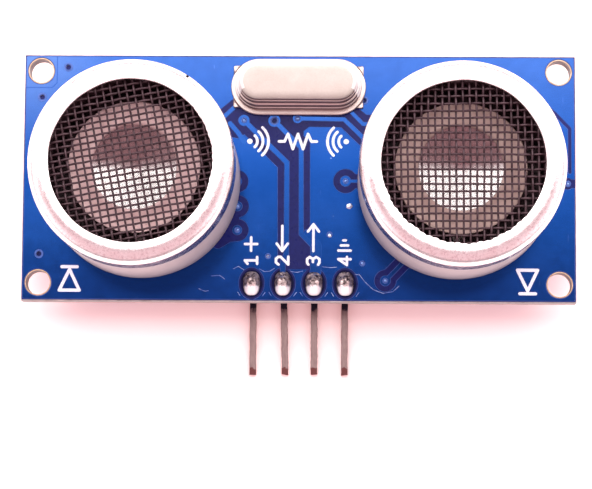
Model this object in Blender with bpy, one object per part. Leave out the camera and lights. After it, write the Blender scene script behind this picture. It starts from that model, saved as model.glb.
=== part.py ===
"""Ultrasonic distance sensor: a small circuit board with two cylindrical 40 kHz
transducers, a crystal and a four-pin angled header. It lies on its back.

Frame: +Z is the direction in which the transducers face, +X runs along the
board, +Y points to the crystal's edge, and the pins point to -Y. The origin is
the centre of the footprint on the surface that the sensor lies on.
"""

import math

import bmesh
import bpy
from mathutils import Matrix, Vector

for old in list(bpy.data.objects):
    bpy.data.objects.remove(old, do_unlink=True)

MM = 0.001

# ---------------------------------------------------------------- dimensions
GAP = 0.05 * MM  # between pieces that touch

BOARD_LENGTH = 45.2 * MM
BOARD_LOW = 10.24 * MM  # from the middle of the hole pattern to the lower edge
BOARD_HIGH = 10.06 * MM  # and to the upper edge
BOARD_THICKNESS = 1.6 * MM
BOARD_CENTRE_Y = 2.97 * MM  # the middle of the hole pattern
MOUNT_HOLE_R = 1.0 * MM
MOUNT_HOLE_X = 21.25 * MM
MOUNT_HOLE_Y = 8.74 * MM
VIA_R = 0.2 * MM

PIN_SIZE = 0.64 * MM
PIN_PITCH = 2.54 * MM
PIN_COUNT = 4
PIN_ROW_Y = -8.74 * MM  # from the middle of the hole pattern
PIN_REACH = 5.76 * MM  # past the board's lower edge
PIN_HOLE_R = 0.5 * MM
HEADER_HEIGHT = 2.54 * MM
HEADER_FRONT = 0.95 * MM  # from the pin row to the plastic's outer face
HEADER_BACK = 1.25 * MM

CAN_R = 8.0 * MM
CAN_HEIGHT = 12.0 * MM
CAN_WALL = 0.5 * MM
CAN_SHOULDER_R = 0.9 * MM
CAN_MOUTH_R = 6.33 * MM
CAN_LIP = 0.5 * MM
CAN_X = 12.8 * MM
CAN_Y = -0.35 * MM  # from the middle of the hole pattern
TERMINAL_R = 0.45 * MM
TERMINAL_Y = 4.8 * MM
TERMINAL_HOLE_R = 0.65 * MM

MESH_R = 7.4 * MM
MESH_THICKNESS = 0.3 * MM
MESH_PITCH = 1.9 * MM
MESH_OPENING = 1.5 * MM
CONE_R = 5.2 * MM
CONE_MOUTH_R = 3.4 * MM
CONE_BRIM_Z = 8.15 * MM
PLATE_R = 4.5 * MM
PIEZO_R = 3.4 * MM

CRYSTAL_X = -0.08 * MM
CRYSTAL_Y = 7.42 * MM
CRYSTAL_FLANGE = (11.05 * MM, 4.65 * MM)
CRYSTAL_BODY = (10.25 * MM, 3.85 * MM)
CRYSTAL_HEIGHT = 3.5 * MM
CRYSTAL_LEAD_R = 0.215 * MM
CRYSTAL_LEAD_X = 2.44 * MM

# Heights above the surface that the sensor lies on.
BOARD_BACK_Z = PIN_SIZE + GAP + HEADER_HEIGHT + GAP
BOARD_FRONT_Z = BOARD_BACK_Z + BOARD_THICKNESS
SEAT_Z = BOARD_FRONT_Z + GAP


# ------------------------------------------------------------------- helpers
def material(name, colour, roughness, metallic=0.0):
    made = bpy.data.materials.new(name)
    made.use_nodes = True
    shader = made.node_tree.nodes["Principled BSDF"]
    shader.inputs["Base Color"].default_value = (*colour, 1.0)
    shader.inputs["Roughness"].default_value = roughness
    shader.inputs["Metallic"].default_value = metallic
    made.diffuse_color = (*colour, 1.0)
    return made


def mesh_of(bm, name, angle=35):
    bmesh.ops.recalc_face_normals(bm, faces=bm.faces)
    mesh = bpy.data.meshes.new(name)
    bm.to_mesh(mesh)
    bm.free()
    mesh.shade_smooth()
    mesh.set_sharp_from_angle(angle=math.radians(angle))
    return mesh


def place(name, mesh, finish, at=(0, 0, 0), turn=(0, 0, 0), parent=None):
    obj = bpy.data.objects.new(name, mesh)
    bpy.context.scene.collection.objects.link(obj)
    if finish and not mesh.materials:
        mesh.materials.append(finish)
    obj.location = at
    obj.rotation_euler = turn
    obj.parent = parent
    return obj


def boolean(obj, other, operation):
    other.hide_render = True
    other.display_type = "WIRE"
    modifier = obj.modifiers.new(operation.lower(), "BOOLEAN")
    modifier.operation = operation
    modifier.solver = "EXACT"
    modifier.object = other


def turned(profile, segments, closed):
    """A profile of (radius, height) turned about Z. A closed profile is a ring's
    section; an open one starts and ends on the axis."""
    bm = bmesh.new()
    rows = []
    for radius, height in profile:
        if radius == 0:
            rows.append([bm.verts.new((0, 0, height))])
            continue
        rows.append(
            [
                bm.verts.new(
                    (
                        radius * math.cos(2 * math.pi * k / segments),
                        radius * math.sin(2 * math.pi * k / segments),
                        height,
                    )
                )
                for k in range(segments)
            ]
        )
    pairs = list(zip(rows, rows[1:] + rows[:1]))
    for low, high in pairs if closed else pairs[:-1]:
        for k in range(segments):
            after = (k + 1) % segments
            ring = [
                low[k % len(low)],
                low[after % len(low)],
                high[after % len(high)],
                high[k % len(high)],
            ]
            bm.faces.new(list(dict.fromkeys(ring)))
    return bm


def lofted(sections, bm=None):
    """Sections with the same number of points, joined in order and capped."""
    bm = bm or bmesh.new()
    rows = [[bm.verts.new(p) for p in section] for section in sections]
    count = len(rows[0])
    for low, high in zip(rows, rows[1:]):
        for k in range(count):
            after = (k + 1) % count
            bm.faces.new([low[k], low[after], high[after], high[k]])
    bm.faces.new(rows[0])
    bm.faces.new(rows[-1])
    return bm


def box(bm, low, high):
    corners = [
        [(x, y, z) for x, y in ((low[0], low[1]), (high[0], low[1]), (high[0], high[1]), (low[0], high[1]))]
        for z in (low[2], high[2])
    ]
    lofted(corners, bm)


def rod(bm, x, y, low, high, radius, segments, phase=0.0):
    rings = [
        [
            (
                x + radius * math.cos(2 * math.pi * (k + phase) / segments),
                y + radius * math.sin(2 * math.pi * (k + phase) / segments),
                z,
            )
            for k in range(segments)
        ]
        for z in (low, high)
    ]
    lofted(rings, bm)


def stadium(length, width, height, steps=7):
    """A slot outline with round ends, as points at one height."""
    radius, half = width / 2, (length - width) / 2
    points = []
    for side, start in ((1, -math.pi / 2), (-1, math.pi / 2)):
        for k in range(steps + 1):
            angle = start + math.pi * k / steps
            points.append(
                (side * half + radius * math.cos(angle), radius * math.sin(angle), height)
            )
    return points


def ellipse(across, along, height, segments):
    return [
        (
            across * math.cos(2 * math.pi * k / segments),
            along * math.sin(2 * math.pi * k / segments),
            height,
        )
        for k in range(segments)
    ]


# ----------------------------------------------------------------- materials
mask_blue = material("mask_blue", (0.012, 0.07, 0.42), 0.25)
can_metal = material("can_metal", (0.86, 0.84, 0.83), 0.3, 1.0)
mesh_dark = material("mesh_dark", (0.035, 0.02, 0.022), 0.55, 0.6)
cone_metal = material("cone_metal", (0.55, 0.42, 0.38), 0.35, 1.0)
plate_metal = material("plate_metal", (0.72, 0.58, 0.33), 0.35, 1.0)
ceramic = material("ceramic", (0.72, 0.68, 0.6), 0.5)
silicone = material("silicone", (0.8, 0.8, 0.78), 0.5)
black_plastic = material("black_plastic", (0.015, 0.014, 0.015), 0.45)
tinned_wire = material("tinned_wire", (0.75, 0.74, 0.72), 0.3, 1.0)
crystal_metal = material("crystal_metal", (0.88, 0.84, 0.8), 0.25, 1.0)
quartz = material("quartz", (0.85, 0.87, 0.88), 0.1)
pin_metal = material("pin_metal", (0.33, 0.25, 0.22), 0.4, 1.0)
solder = material("solder", (0.82, 0.8, 0.8), 0.2, 1.0)
chip_black = material("chip_black", (0.02, 0.02, 0.022), 0.5)
resistor_black = material("resistor_black", (0.03, 0.03, 0.035), 0.4)
capacitor_tan = material("capacitor_tan", (0.45, 0.32, 0.2), 0.45)

# ------------------------------------------------------------- circuit board
board_frame = bpy.data.objects.new("board_frame", None)
bpy.context.scene.collection.objects.link(board_frame)
board_frame.location = (0, BOARD_CENTRE_Y, BOARD_BACK_Z)

VIAS = (
    (-19.04, 9.05),
    (-21.15, 6.55),
    (-21.2, -6.4),
    (5.28, 6.38),
    (-4.53, 4.69),
    (-2.05, 4.67),
    (3.81, -0.31),
    (-5.01, -2.42),
    (2.52, -4.7),
    (-2.49, -6.51),
    (5.2, -7.07),
    (7.08, -8.47),
)

bm = bmesh.new()
box(
    bm,
    (-BOARD_LENGTH / 2, -BOARD_LOW, 0),
    (BOARD_LENGTH / 2, BOARD_HIGH, BOARD_THICKNESS),
)
board = place("circuit_board", mesh_of(bm, "circuit_board"), mask_blue, parent=board_frame)

pin_xs = [(k - (PIN_COUNT - 1) / 2) * PIN_PITCH for k in range(PIN_COUNT)]
bm = bmesh.new()
through = (-1 * MM, BOARD_THICKNESS + 1 * MM)
for sx in (-1, 1):
    for sy in (-1, 1):
        rod(bm, sx * MOUNT_HOLE_X, sy * MOUNT_HOLE_Y, *through, MOUNT_HOLE_R, 24, 0.5)
        rod(bm, sx * CAN_X, CAN_Y + sy * TERMINAL_Y, *through, TERMINAL_HOLE_R, 14)
    rod(bm, CRYSTAL_X + sx * CRYSTAL_LEAD_X, CRYSTAL_Y, *through, 0.4 * MM, 12)
for x in pin_xs:
    rod(bm, x, PIN_ROW_Y, *through, PIN_HOLE_R, 16)
for x, y in VIAS:
    rod(bm, x * MM, y * MM, *through, VIA_R, 8)
drills = place("board_drills", mesh_of(bm, "board_drills"), None, parent=board_frame)
boolean(board, drills, "DIFFERENCE")

# --------------------------------------------------------------- transducers
shoulder = [
    (
        CAN_R - CAN_SHOULDER_R * (1 - math.cos(math.radians(a))),
        CAN_HEIGHT - CAN_SHOULDER_R * (1 - math.sin(math.radians(a))),
    )
    for a in (0, 30, 60, 90)
]
lip_edge = 0.12 * MM
inner_r = CAN_R - CAN_WALL
under_lip = CAN_HEIGHT - CAN_LIP
can_profile = [
    (CAN_R, 0),
    *shoulder,
    (CAN_MOUTH_R + lip_edge, CAN_HEIGHT),
    (CAN_MOUTH_R, CAN_HEIGHT - lip_edge),
    (CAN_MOUTH_R, under_lip),
    (inner_r, under_lip),
    (inner_r, 0),
]
can_mesh = mesh_of(turned(can_profile, 40, True), "housing")

mesh_top = under_lip - GAP
mesh_low = mesh_top - MESH_THICKNESS
bm = bmesh.new()
rod(bm, 0, 0, mesh_low, mesh_top, MESH_R, 40)
grille_mesh = mesh_of(bm, "mesh")
bm = bmesh.new()
reach = int(CAN_MOUTH_R / MESH_PITCH)
for i in range(-reach, reach + 1):
    for j in range(-reach, reach + 1):
        x, y = i * MESH_PITCH, j * MESH_PITCH
        far = math.hypot(abs(x) + MESH_OPENING / 2, abs(y) + MESH_OPENING / 2)
        if far < CAN_MOUTH_R:
            half = MESH_OPENING / 2
            box(
                bm,
                (x - half, y - half, mesh_low - 1 * MM),
                (x + half, y + half, mesh_top + 1 * MM),
            )
openings_mesh = mesh_of(bm, "mesh_openings")

cup_r = inner_r - GAP
cup_top = mesh_low - GAP
cup_inner = cup_r - 0.55 * MM
cup_floor = 1.9 * MM
post_top = 4.4 * MM
cup_profile = [
    (0, 0.3 * MM),
    (cup_r, 0.3 * MM),
    (cup_r, cup_top),
    (cup_inner, cup_top),
    (cup_inner, cup_floor),
    (3.05 * MM, cup_floor),
    (3.05 * MM, post_top),
    (2.3 * MM, post_top),
    (2.3 * MM, cup_floor),
    (0, cup_floor),
]
cup_mesh = mesh_of(turned(cup_profile, 36, False), "base_cup")
bm = bmesh.new()
for sy in (-1, 1):
    rod(bm, 0, sy * TERMINAL_Y, -1 * MM, 3 * MM, TERMINAL_R + GAP + 0.02 * MM, 12)
cup_drill_mesh = mesh_of(bm, "cup_drills")

ring_low, ring_top = post_top + GAP, post_top + 0.4 * MM
seal_mesh = mesh_of(
    turned(
        [
            (3.0 * MM, ring_low),
            (3.0 * MM, ring_top),
            (2.35 * MM, ring_top),
            (2.35 * MM, ring_low),
        ],
        28,
        True,
    ),
    "seal_ring",
)
piezo_low = ring_top + GAP
piezo_top = piezo_low + 0.3 * MM
bm = bmesh.new()
rod(bm, 0, 0, piezo_low, piezo_top, PIEZO_R, 32)
piezo_mesh = mesh_of(bm, "piezo_disc")
plate_low = piezo_top + GAP
plate_top = plate_low + 0.3 * MM
bm = bmesh.new()
rod(bm, 0, 0, plate_low, plate_top, PLATE_R, 32)
plate_mesh = mesh_of(bm, "diaphragm")

cone_low = plate_top + GAP
funnel_low = CONE_BRIM_Z - 1.2 * MM
cone_profile = [
    (0, funnel_low),
    (0.4 * MM, funnel_low + 0.03 * MM),
    (CONE_MOUTH_R, CONE_BRIM_Z),
    (CONE_R, CONE_BRIM_Z + 0.1 * MM),
    (CONE_R, CONE_BRIM_Z - 0.08 * MM),
    (CONE_MOUTH_R + 0.08 * MM, CONE_BRIM_Z - 0.2 * MM),
    (1.1 * MM, funnel_low - 0.12 * MM),
    (1.0 * MM, funnel_low - 0.3 * MM),
    (1.0 * MM, cone_low),
    (0, cone_low),
]
cone_mesh = mesh_of(turned(cone_profile, 32, False), "cone")

tail = -SEAT_Z
bm = bmesh.new()
lofted(
    [
        ellipse(TERMINAL_R - 0.1 * MM, TERMINAL_R - 0.1 * MM, tail, 12),
        ellipse(TERMINAL_R, TERMINAL_R, tail + 0.15 * MM, 12),
        ellipse(TERMINAL_R, TERMINAL_R, 2.9 * MM, 12),
    ],
    bm,
)
terminal_mesh = mesh_of(bm, "terminal")


def lead_wire():
    """A fine wire from the top of a terminal to the edge of the ceramic disc."""
    route = [
        Vector((0, TERMINAL_Y, 2.9 * MM + GAP)),
        Vector((0, TERMINAL_Y + 0.02 * MM, 3.5 * MM)),
        Vector((0, TERMINAL_Y - 0.25 * MM, 3.95 * MM)),
        Vector((0, TERMINAL_Y - 0.75 * MM, 4.2 * MM)),
        Vector((0, TERMINAL_Y - 1.2 * MM, 4.3 * MM)),
        Vector((0, 3.33 * MM, 4.5 * MM)),
        Vector((0, 3.25 * MM, piezo_low - GAP)),
    ]
    radius, sections = 0.09 * MM, []
    for k, point in enumerate(route):
        ahead = (route[min(k + 1, len(route) - 1)] - route[max(k - 1, 0)]).normalized()
        side = Vector((1, 0, 0))
        other = ahead.cross(side)
        if k in (0, len(route) - 1):
            other = Vector((0, 1, 0)) * (1 if k else 1)
        sections.append(
            [
                point
                + radius
                * (side * math.cos(math.pi * n / 3) + other * math.sin(math.pi * n / 3))
                for n in range(6)
            ]
        )
    return lofted(sections)


wire_mesh = mesh_of(lead_wire(), "lead_wire")

for label, side in (("tx", -1), ("rx", 1)):
    axis = bpy.data.objects.new(label + "_axis", None)
    bpy.context.scene.collection.objects.link(axis)
    axis.location = (side * CAN_X, BOARD_CENTRE_Y + CAN_Y, SEAT_Z)
    place(label + "_housing", can_mesh, can_metal, parent=axis)
    grille = place(label + "_mesh", grille_mesh, mesh_dark, parent=axis)
    boolean(grille, place(label + "_mesh_openings", openings_mesh, None, parent=axis), "DIFFERENCE")
    cup = place(label + "_base_cup", cup_mesh, black_plastic, parent=axis)
    boolean(cup, place(label + "_cup_drills", cup_drill_mesh, None, parent=axis), "DIFFERENCE")
    place(label + "_seal_ring", seal_mesh, silicone, parent=axis)
    place(label + "_piezo_disc", piezo_mesh, ceramic, parent=axis)
    place(label + "_diaphragm", plate_mesh, plate_metal, parent=axis)
    place(label + "_cone", cone_mesh, cone_metal, parent=axis)
    for pole, sy, half_turn in (("pos", 1, 0.0), ("neg", -1, math.pi)):
        place(
            f"{label}_terminal_{pole}",
            terminal_mesh,
            tinned_wire,
            at=(0, sy * TERMINAL_Y, 0),
            parent=axis,
        )
        place(
            f"{label}_lead_wire_{pole}",
            wire_mesh,
            tinned_wire,
            turn=(0, 0, half_turn),
            parent=axis,
        )

# ------------------------------------------------------------------- crystal
crystal_frame = bpy.data.objects.new("crystal_frame", None)
bpy.context.scene.collection.objects.link(crystal_frame)
crystal_frame.location = (CRYSTAL_X, BOARD_CENTRE_Y + CRYSTAL_Y, SEAT_Z)

bl, bw = CRYSTAL_BODY
hollow = (9.65 * MM, 3.25 * MM)
flange_top = 0.4 * MM
top = CRYSTAL_HEIGHT
bm = lofted(
    [
        stadium(*hollow, top - 0.3 * MM),
        stadium(*hollow, 0),
        stadium(*CRYSTAL_FLANGE, 0),
        stadium(*CRYSTAL_FLANGE, flange_top),
        stadium(bl, bw, flange_top),
        stadium(bl, bw, top - 0.5 * MM),
        stadium(bl - 0.15 * MM, bw - 0.15 * MM, top - 0.25 * MM),
        stadium(bl - 0.5 * MM, bw - 0.5 * MM, top - 0.05 * MM),
        stadium(bl - 0.95 * MM, bw - 0.95 * MM, top),
    ]
)
place("crystal_can", mesh_of(bm, "crystal_can"), crystal_metal, parent=crystal_frame)

plug = (hollow[0] - 2 * GAP, hollow[1] - 2 * GAP)
bm = lofted([stadium(*plug, 0.02 * MM), stadium(*plug, 0.75 * MM)])
base = place("crystal_base", mesh_of(bm, "crystal_base"), crystal_metal, parent=crystal_frame)
bm = bmesh.new()
for sx in (-1, 1):
    rod(bm, sx * CRYSTAL_LEAD_X, 0, -1 * MM, 2 * MM, 0.3 * MM, 12)
boolean(
    base,
    place("crystal_base_drills", mesh_of(bm, "crystal_base_drills"), None, parent=crystal_frame),
    "DIFFERENCE",
)

lead_tail = -(BOARD_THICKNESS + GAP + 1.5 * MM)
lead_profile = [
    (0, lead_tail),
    (CRYSTAL_LEAD_R, lead_tail),
    (CRYSTAL_LEAD_R, 1.25 * MM),
    (0.5 * MM, 1.35 * MM),
    (0.5 * MM, 1.5 * MM),
    (0, 1.5 * MM),
]
lead_mesh = mesh_of(turned(lead_profile, 10, False), "crystal_lead")
for label, side in (("left", -1), ("right", 1)):
    place(
        "crystal_lead_" + label,
        lead_mesh,
        tinned_wire,
        at=(side * CRYSTAL_LEAD_X, 0, 0),
        parent=crystal_frame,
    )
bm = bmesh.new()
box(bm, (-3.5 * MM, -0.95 * MM, 1.55 * MM), (3.5 * MM, 0.95 * MM, 1.8 * MM))
place("crystal_quartz_blank", mesh_of(bm, "quartz_blank"), quartz, parent=crystal_frame)

# -------------------------------------------------------------------- header
row_y = BOARD_CENTRE_Y + PIN_ROW_Y
header_low = PIN_SIZE + GAP
header_top = header_low + HEADER_HEIGHT
cut = 0.35 * MM
outline = []
for k in range(PIN_COUNT):
    left = (k - PIN_COUNT / 2) * PIN_PITCH
    outline += [
        (left, row_y - HEADER_FRONT + cut),
        (left + cut, row_y - HEADER_FRONT),
        (left + PIN_PITCH - cut, row_y - HEADER_FRONT),
    ]
outline.append((PIN_COUNT / 2 * PIN_PITCH, row_y - HEADER_FRONT + cut))
for k in reversed(range(PIN_COUNT)):
    left = (k - PIN_COUNT / 2) * PIN_PITCH
    outline += [
        (left + PIN_PITCH, row_y + HEADER_BACK - cut),
        (left + PIN_PITCH - cut, row_y + HEADER_BACK),
        (left + cut, row_y + HEADER_BACK),
    ]
outline.append((-PIN_COUNT / 2 * PIN_PITCH, row_y + HEADER_BACK - cut))
bm = lofted([[(x, y, z) for x, y in outline] for z in (header_low, header_top)])
header = place("header_body", mesh_of(bm, "header_body"), black_plastic)
bm = bmesh.new()
for x in pin_xs:
    half = PIN_SIZE / 2 + GAP
    box(
        bm,
        (x - half, row_y - half, header_low - 1 * MM),
        (x + half, row_y + half, header_top + 1 * MM),
    )
boolean(header, place("header_drills", mesh_of(bm, "header_drills"), None), "DIFFERENCE")

pin_tip_y = BOARD_CENTRE_Y - BOARD_LOW - PIN_REACH
pin_top = BOARD_FRONT_Z + 1.3 * MM
half = PIN_SIZE / 2


def bent_pin():
    """A square wire that comes down through the board and its plastic, turns
    through a right angle and runs out to -Y. Its ends are tapered."""

    def across(y, z, angle, size=half):
        """A square section whose normal is turned by angle from -Z to -Y."""
        ny, nz = math.cos(angle), -math.sin(angle)
        return [
            (a * size, y + b * size * ny, z + b * size * nz)
            for a, b in ((-1, -1), (1, -1), (1, 1), (-1, 1))
        ]

    inner = GAP
    hub_y, hub_z = -half - inner, PIN_SIZE + inner
    sections = [
        across(0, pin_top, 0, 0.55 * half),
        across(0, pin_top - 0.25 * MM, 0),
        across(0, hub_z, 0),
    ]
    for step in (1, 2, 3):
        angle = math.radians(22.5 * step)
        reach_out = inner + half
        sections.append(
            across(
                hub_y + reach_out * math.cos(angle),
                hub_z - reach_out * math.sin(angle),
                angle,
            )
        )
    far = pin_tip_y - row_y
    sections += [
        across(hub_y, half, math.pi / 2),
        across(far + 0.55 * MM, half, math.pi / 2),
        across(far, half, math.pi / 2, 0.45 * half),
    ]
    return lofted(sections)


pin_mesh = mesh_of(bent_pin(), "header_pin")
bm = bmesh.new()
outer_rings = [
    ellipse(0.5 * MM, 0.5 * MM, 0.95 * MM, 16),
    ellipse(0.5 * MM, 0.5 * MM, 0, 16),
    ellipse(0.74 * MM, 1.06 * MM, 0, 16),
    ellipse(0.68 * MM, 0.92 * MM, 0.25 * MM, 16),
    ellipse(0.6 * MM, 0.7 * MM, 0.65 * MM, 16),
    ellipse(0.56 * MM, 0.57 * MM, 0.95 * MM, 16),
]
rows = [[bm.verts.new(p) for p in ring] for ring in outer_rings]
for low, high in zip(rows, rows[1:] + rows[:1]):
    for k in range(16):
        after = (k + 1) % 16
        bm.faces.new([low[k], low[after], high[after], high[k]])
joint_mesh = mesh_of(bm, "solder_joint")
for number, x in enumerate(pin_xs, 1):
    lean = math.radians(1.2) if number == 2 else 0.0  # one pin is slightly bent
    place(f"header_pin_{number}", pin_mesh, pin_metal, at=(x, row_y, 0), turn=(0, 0, lean))
    place(f"solder_joint_{number}", joint_mesh, solder, at=(x, row_y, SEAT_Z))

# ------------------------------------------------- components on the back
back_frame = bpy.data.objects.new("back_frame", None)
bpy.context.scene.collection.objects.link(back_frame)
back_frame.location = (0, BOARD_CENTRE_Y, BOARD_BACK_Z - GAP)


def on_back(name, mesh, finish, x, y, turn=0):
    """Places a piece, modelled upright, upside down on the board's back."""
    return place(
        name,
        mesh,
        finish,
        at=(x * MM, y * MM, 0),
        turn=(math.pi, 0, math.radians(turn)),
        parent=back_frame,
    )


def package(length, width, thickness, lift, middle):
    """A moulded chip body, drafted both ways from its middle height."""

    def rectangle(shrink, z):
        a, b = length / 2 - shrink, width / 2 - shrink
        return [(-a, -b, z), (a, -b, z), (a, b, z), (-a, b, z)]

    draft = 0.12 * MM
    return lofted(
        [
            rectangle(draft, lift),
            rectangle(0, middle),
            rectangle(draft, lift + thickness),
        ]
    )


def gull_leads(places, width, body_half, span_half, middle):
    """Bent leads: places is a list of (position along the body, side)."""
    bm = bmesh.new()
    t = 0.1 * MM
    profile = [
        (body_half - 0.3 * MM, middle + t),
        (span_half - 0.68 * MM, middle + t),
        (span_half - 0.45 * MM, 2 * t),
        (span_half, 2 * t),
        (span_half, 0),
        (span_half - 0.62 * MM, 0),
        (span_half - 0.83 * MM, middle - t),
        (body_half - 0.3 * MM, middle - t),
    ]
    for along, side in places:
        lofted(
            [
                [(along + edge, side * y, z) for y, z in profile]
                for edge in (-width / 2, width / 2)
            ],
            bm,
        )
    return bm


def chip(name, pins, length, x, y):
    body = on_back(
        name,
        mesh_of(package(length, 3.9 * MM, 1.45 * MM, 0.1 * MM, 0.85 * MM), name),
        chip_black,
        x,
        y,
    )
    per_side = pins // 2
    places = [
        ((k - (per_side - 1) / 2) * 1.27 * MM, side)
        for side in (-1, 1)
        for k in range(per_side)
    ]
    leads = on_back(
        name + "_leads",
        mesh_of(gull_leads(places, 0.4 * MM, 1.95 * MM, 3.0 * MM, 0.85 * MM), name + "_leads"),
        None,
        x,
        y,
    )
    boolean(body, leads, "UNION")


chip("driver_chip", 16, 9.9 * MM, -12.8, -0.35)
chip("controller_chip", 14, 8.65 * MM, 0.0, 0.4)
chip("amplifier_chip", 14, 8.65 * MM, 12.8, -0.35)

body = on_back(
    "transistor",
    mesh_of(package(2.9 * MM, 1.3 * MM, 0.95 * MM, 0.05 * MM, 0.5 * MM), "transistor"),
    chip_black,
    -16.9,
    -6.6,
)
leads = on_back(
    "transistor_leads",
    mesh_of(
        gull_leads(
            [(-0.95 * MM, -1), (0.95 * MM, -1), (0, 1)],
            0.42 * MM,
            0.65 * MM,
            1.2 * MM + 0.3 * MM,
            0.5 * MM,
        ),
        "transistor_leads",
    ),
    None,
    -16.9,
    -6.6,
)
boolean(body, leads, "UNION")


def chip_passive(height):
    """A ceramic block, 1.6 x 0.8 mm, with slightly larger end caps."""
    sections = []
    for x, b, h in (
        (-0.8, 0.42, height + 0.03),
        (-0.5, 0.42, height + 0.03),
        (-0.5, 0.39, height),
        (0.5, 0.39, height),
        (0.5, 0.42, height + 0.03),
        (0.8, 0.42, height + 0.03),
    ):
        low = 0.0 if b == 0.42 else 0.03
        sections.append(
            [
                (x * MM, -b * MM, low * MM),
                (x * MM, b * MM, low * MM),
                (x * MM, b * MM, h * MM),
                (x * MM, -b * MM, h * MM),
            ]
        )
    return lofted(sections)


resistor_mesh = mesh_of(chip_passive(0.42), "resistor")
capacitor_mesh = mesh_of(chip_passive(0.75), "capacitor")
RESISTORS = (
    (-9.4, 5.4, 0),
    (-9.4, 7.2, 0),
    (-6.6, 5.4, 0),
    (9.4, 5.4, 0),
    (9.4, 7.2, 0),
    (-9.4, -6.2, 0),
    (9.4, -6.2, 0),
    (-17.0, 5.4, 0),
)
CAPACITORS = (
    (-6.6, 7.2, 0),
    (6.6, 5.4, 0),
    (6.6, 7.2, 0),
    (-9.4, -8.0, 0),
    (9.4, -8.0, 0),
    (-6.1, 0.4, 90),
    (6.4, 0.4, 90),
    (17.0, 5.4, 0),
)
for number, (x, y, turn) in enumerate(RESISTORS, 1):
    on_back(f"resistor_{number}", resistor_mesh, resistor_black, x, y, turn)
for number, (x, y, turn) in enumerate(CAPACITORS, 1):
    on_back(f"capacitor_{number}", capacitor_mesh, capacitor_tan, x, y, turn)
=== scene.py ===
"""Looks of an ultrasonic distance sensor: a blue circuit board with two silver
40 kHz transducers behind woven wire, a crystal, four soldered header pins, and
chips, resistors and capacitors on its back. Lengths are in mm unless they say
otherwise; MM turns them into the row frame's metres."""

import math

import bmesh
import bpy
import numpy as np
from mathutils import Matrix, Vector
from mathutils.geometry import delaunay_2d_cdt


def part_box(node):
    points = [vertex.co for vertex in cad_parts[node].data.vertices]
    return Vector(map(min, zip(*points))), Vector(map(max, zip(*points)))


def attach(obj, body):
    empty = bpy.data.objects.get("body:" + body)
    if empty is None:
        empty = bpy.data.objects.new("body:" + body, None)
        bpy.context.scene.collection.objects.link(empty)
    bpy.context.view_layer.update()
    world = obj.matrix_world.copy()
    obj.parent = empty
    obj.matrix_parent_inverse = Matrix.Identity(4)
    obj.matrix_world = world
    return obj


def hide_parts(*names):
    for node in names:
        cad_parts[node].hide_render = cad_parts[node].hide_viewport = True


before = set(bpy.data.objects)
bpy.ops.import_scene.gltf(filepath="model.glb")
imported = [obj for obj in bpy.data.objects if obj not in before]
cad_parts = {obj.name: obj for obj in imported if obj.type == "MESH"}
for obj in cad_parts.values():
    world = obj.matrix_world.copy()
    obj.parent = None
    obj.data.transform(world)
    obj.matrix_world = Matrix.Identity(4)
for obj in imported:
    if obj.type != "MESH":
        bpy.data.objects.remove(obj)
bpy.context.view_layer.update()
MM = 0.001
random_numbers = np.random.default_rng(11)


def corners(node):
    low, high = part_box(node)
    return np.array(low) / MM, np.array(high) / MM


board_low, board_high = corners("circuit_board")
pin_low, pin_high = corners("solder_joint_2")
# Positions on the board count from the middle of its hole pattern, which is
# 8.74 mm above the pin row.
BX, BY = (board_low[0] + board_high[0]) / 2, (pin_low[1] + pin_high[1]) / 2 + 8.74
BACK, FRONT = board_low[2], board_high[2]
SOLDER_ROW, SOLDER_X = float(pin_low[1] + pin_high[1]) / 2 * MM, float(pin_low[0] + pin_high[0]) / 2 * MM


# ------------------------------------------------------------ mesh building
def make(name, verts, faces, materials, slot=None, body="root", replaces=(), angle=35, pick=None, flat=False):
    """A piece from points in mm. pick gives each face its material's number."""
    mesh = bpy.data.meshes.new(name)
    mesh.from_pydata((np.asarray(verts, float) * MM).tolist(), [], [list(map(int, f)) for f in faces])
    for item in materials if isinstance(materials, (list, tuple)) else [materials]:
        mesh.materials.append(item)
    if pick is not None:
        mesh.polygons.foreach_set("material_index", np.asarray(pick, np.int32))
    return finish_piece(name, mesh, body, replaces, angle, flat)


def finish_piece(name, mesh, body="root", replaces=(), angle=35, flat=False):
    mesh.update()
    if flat:
        mesh.shade_flat()
    else:
        mesh.shade_smooth()
        mesh.set_sharp_from_angle(angle=math.radians(angle))
    obj = bpy.data.objects.new(name, mesh)
    bpy.context.scene.collection.objects.link(obj)
    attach(obj, body)
    if replaces:
        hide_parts(*replaces)
    return obj


def joined(parts):
    """Several (points, faces) as one."""
    verts, faces, base = [], [], 0
    for points, polygons in parts:
        points = np.asarray(points, float)
        verts.append(points)
        faces += [[index + base for index in polygon] for polygon in polygons]
        base += len(points)
    return np.concatenate(verts), faces


def turned(profile, segments, closed=False, shape=None):
    """A profile of (radius, height) turned about Z. shape, if given, takes and
    returns arrays of radius, angle and height, to make it less than perfect."""
    angles = 2 * math.pi * np.arange(segments) / segments
    verts, rows, count = [], [], 0
    for radius, height in profile:
        if radius == 0:
            verts.append([[0.0, 0.0, height]])
            rows.append([count])
            count += 1
            continue
        r, z = np.full(segments, radius), np.full(segments, height)
        if shape:
            r, z = shape(r, angles, z)
        verts.append(np.stack([r * np.cos(angles), r * np.sin(angles), z], 1))
        rows.append(list(range(count, count + segments)))
        count += segments
    faces = []
    pairs = list(zip(rows, rows[1:] + rows[:1]))
    for low, high in pairs if closed else pairs[:-1]:
        for k in range(segments):
            after = (k + 1) % segments
            ring = [low[k % len(low)], low[after % len(low)], high[after % len(high)], high[k % len(high)]]
            faces.append(list(dict.fromkeys(ring)))
    return np.concatenate(verts), faces


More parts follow.
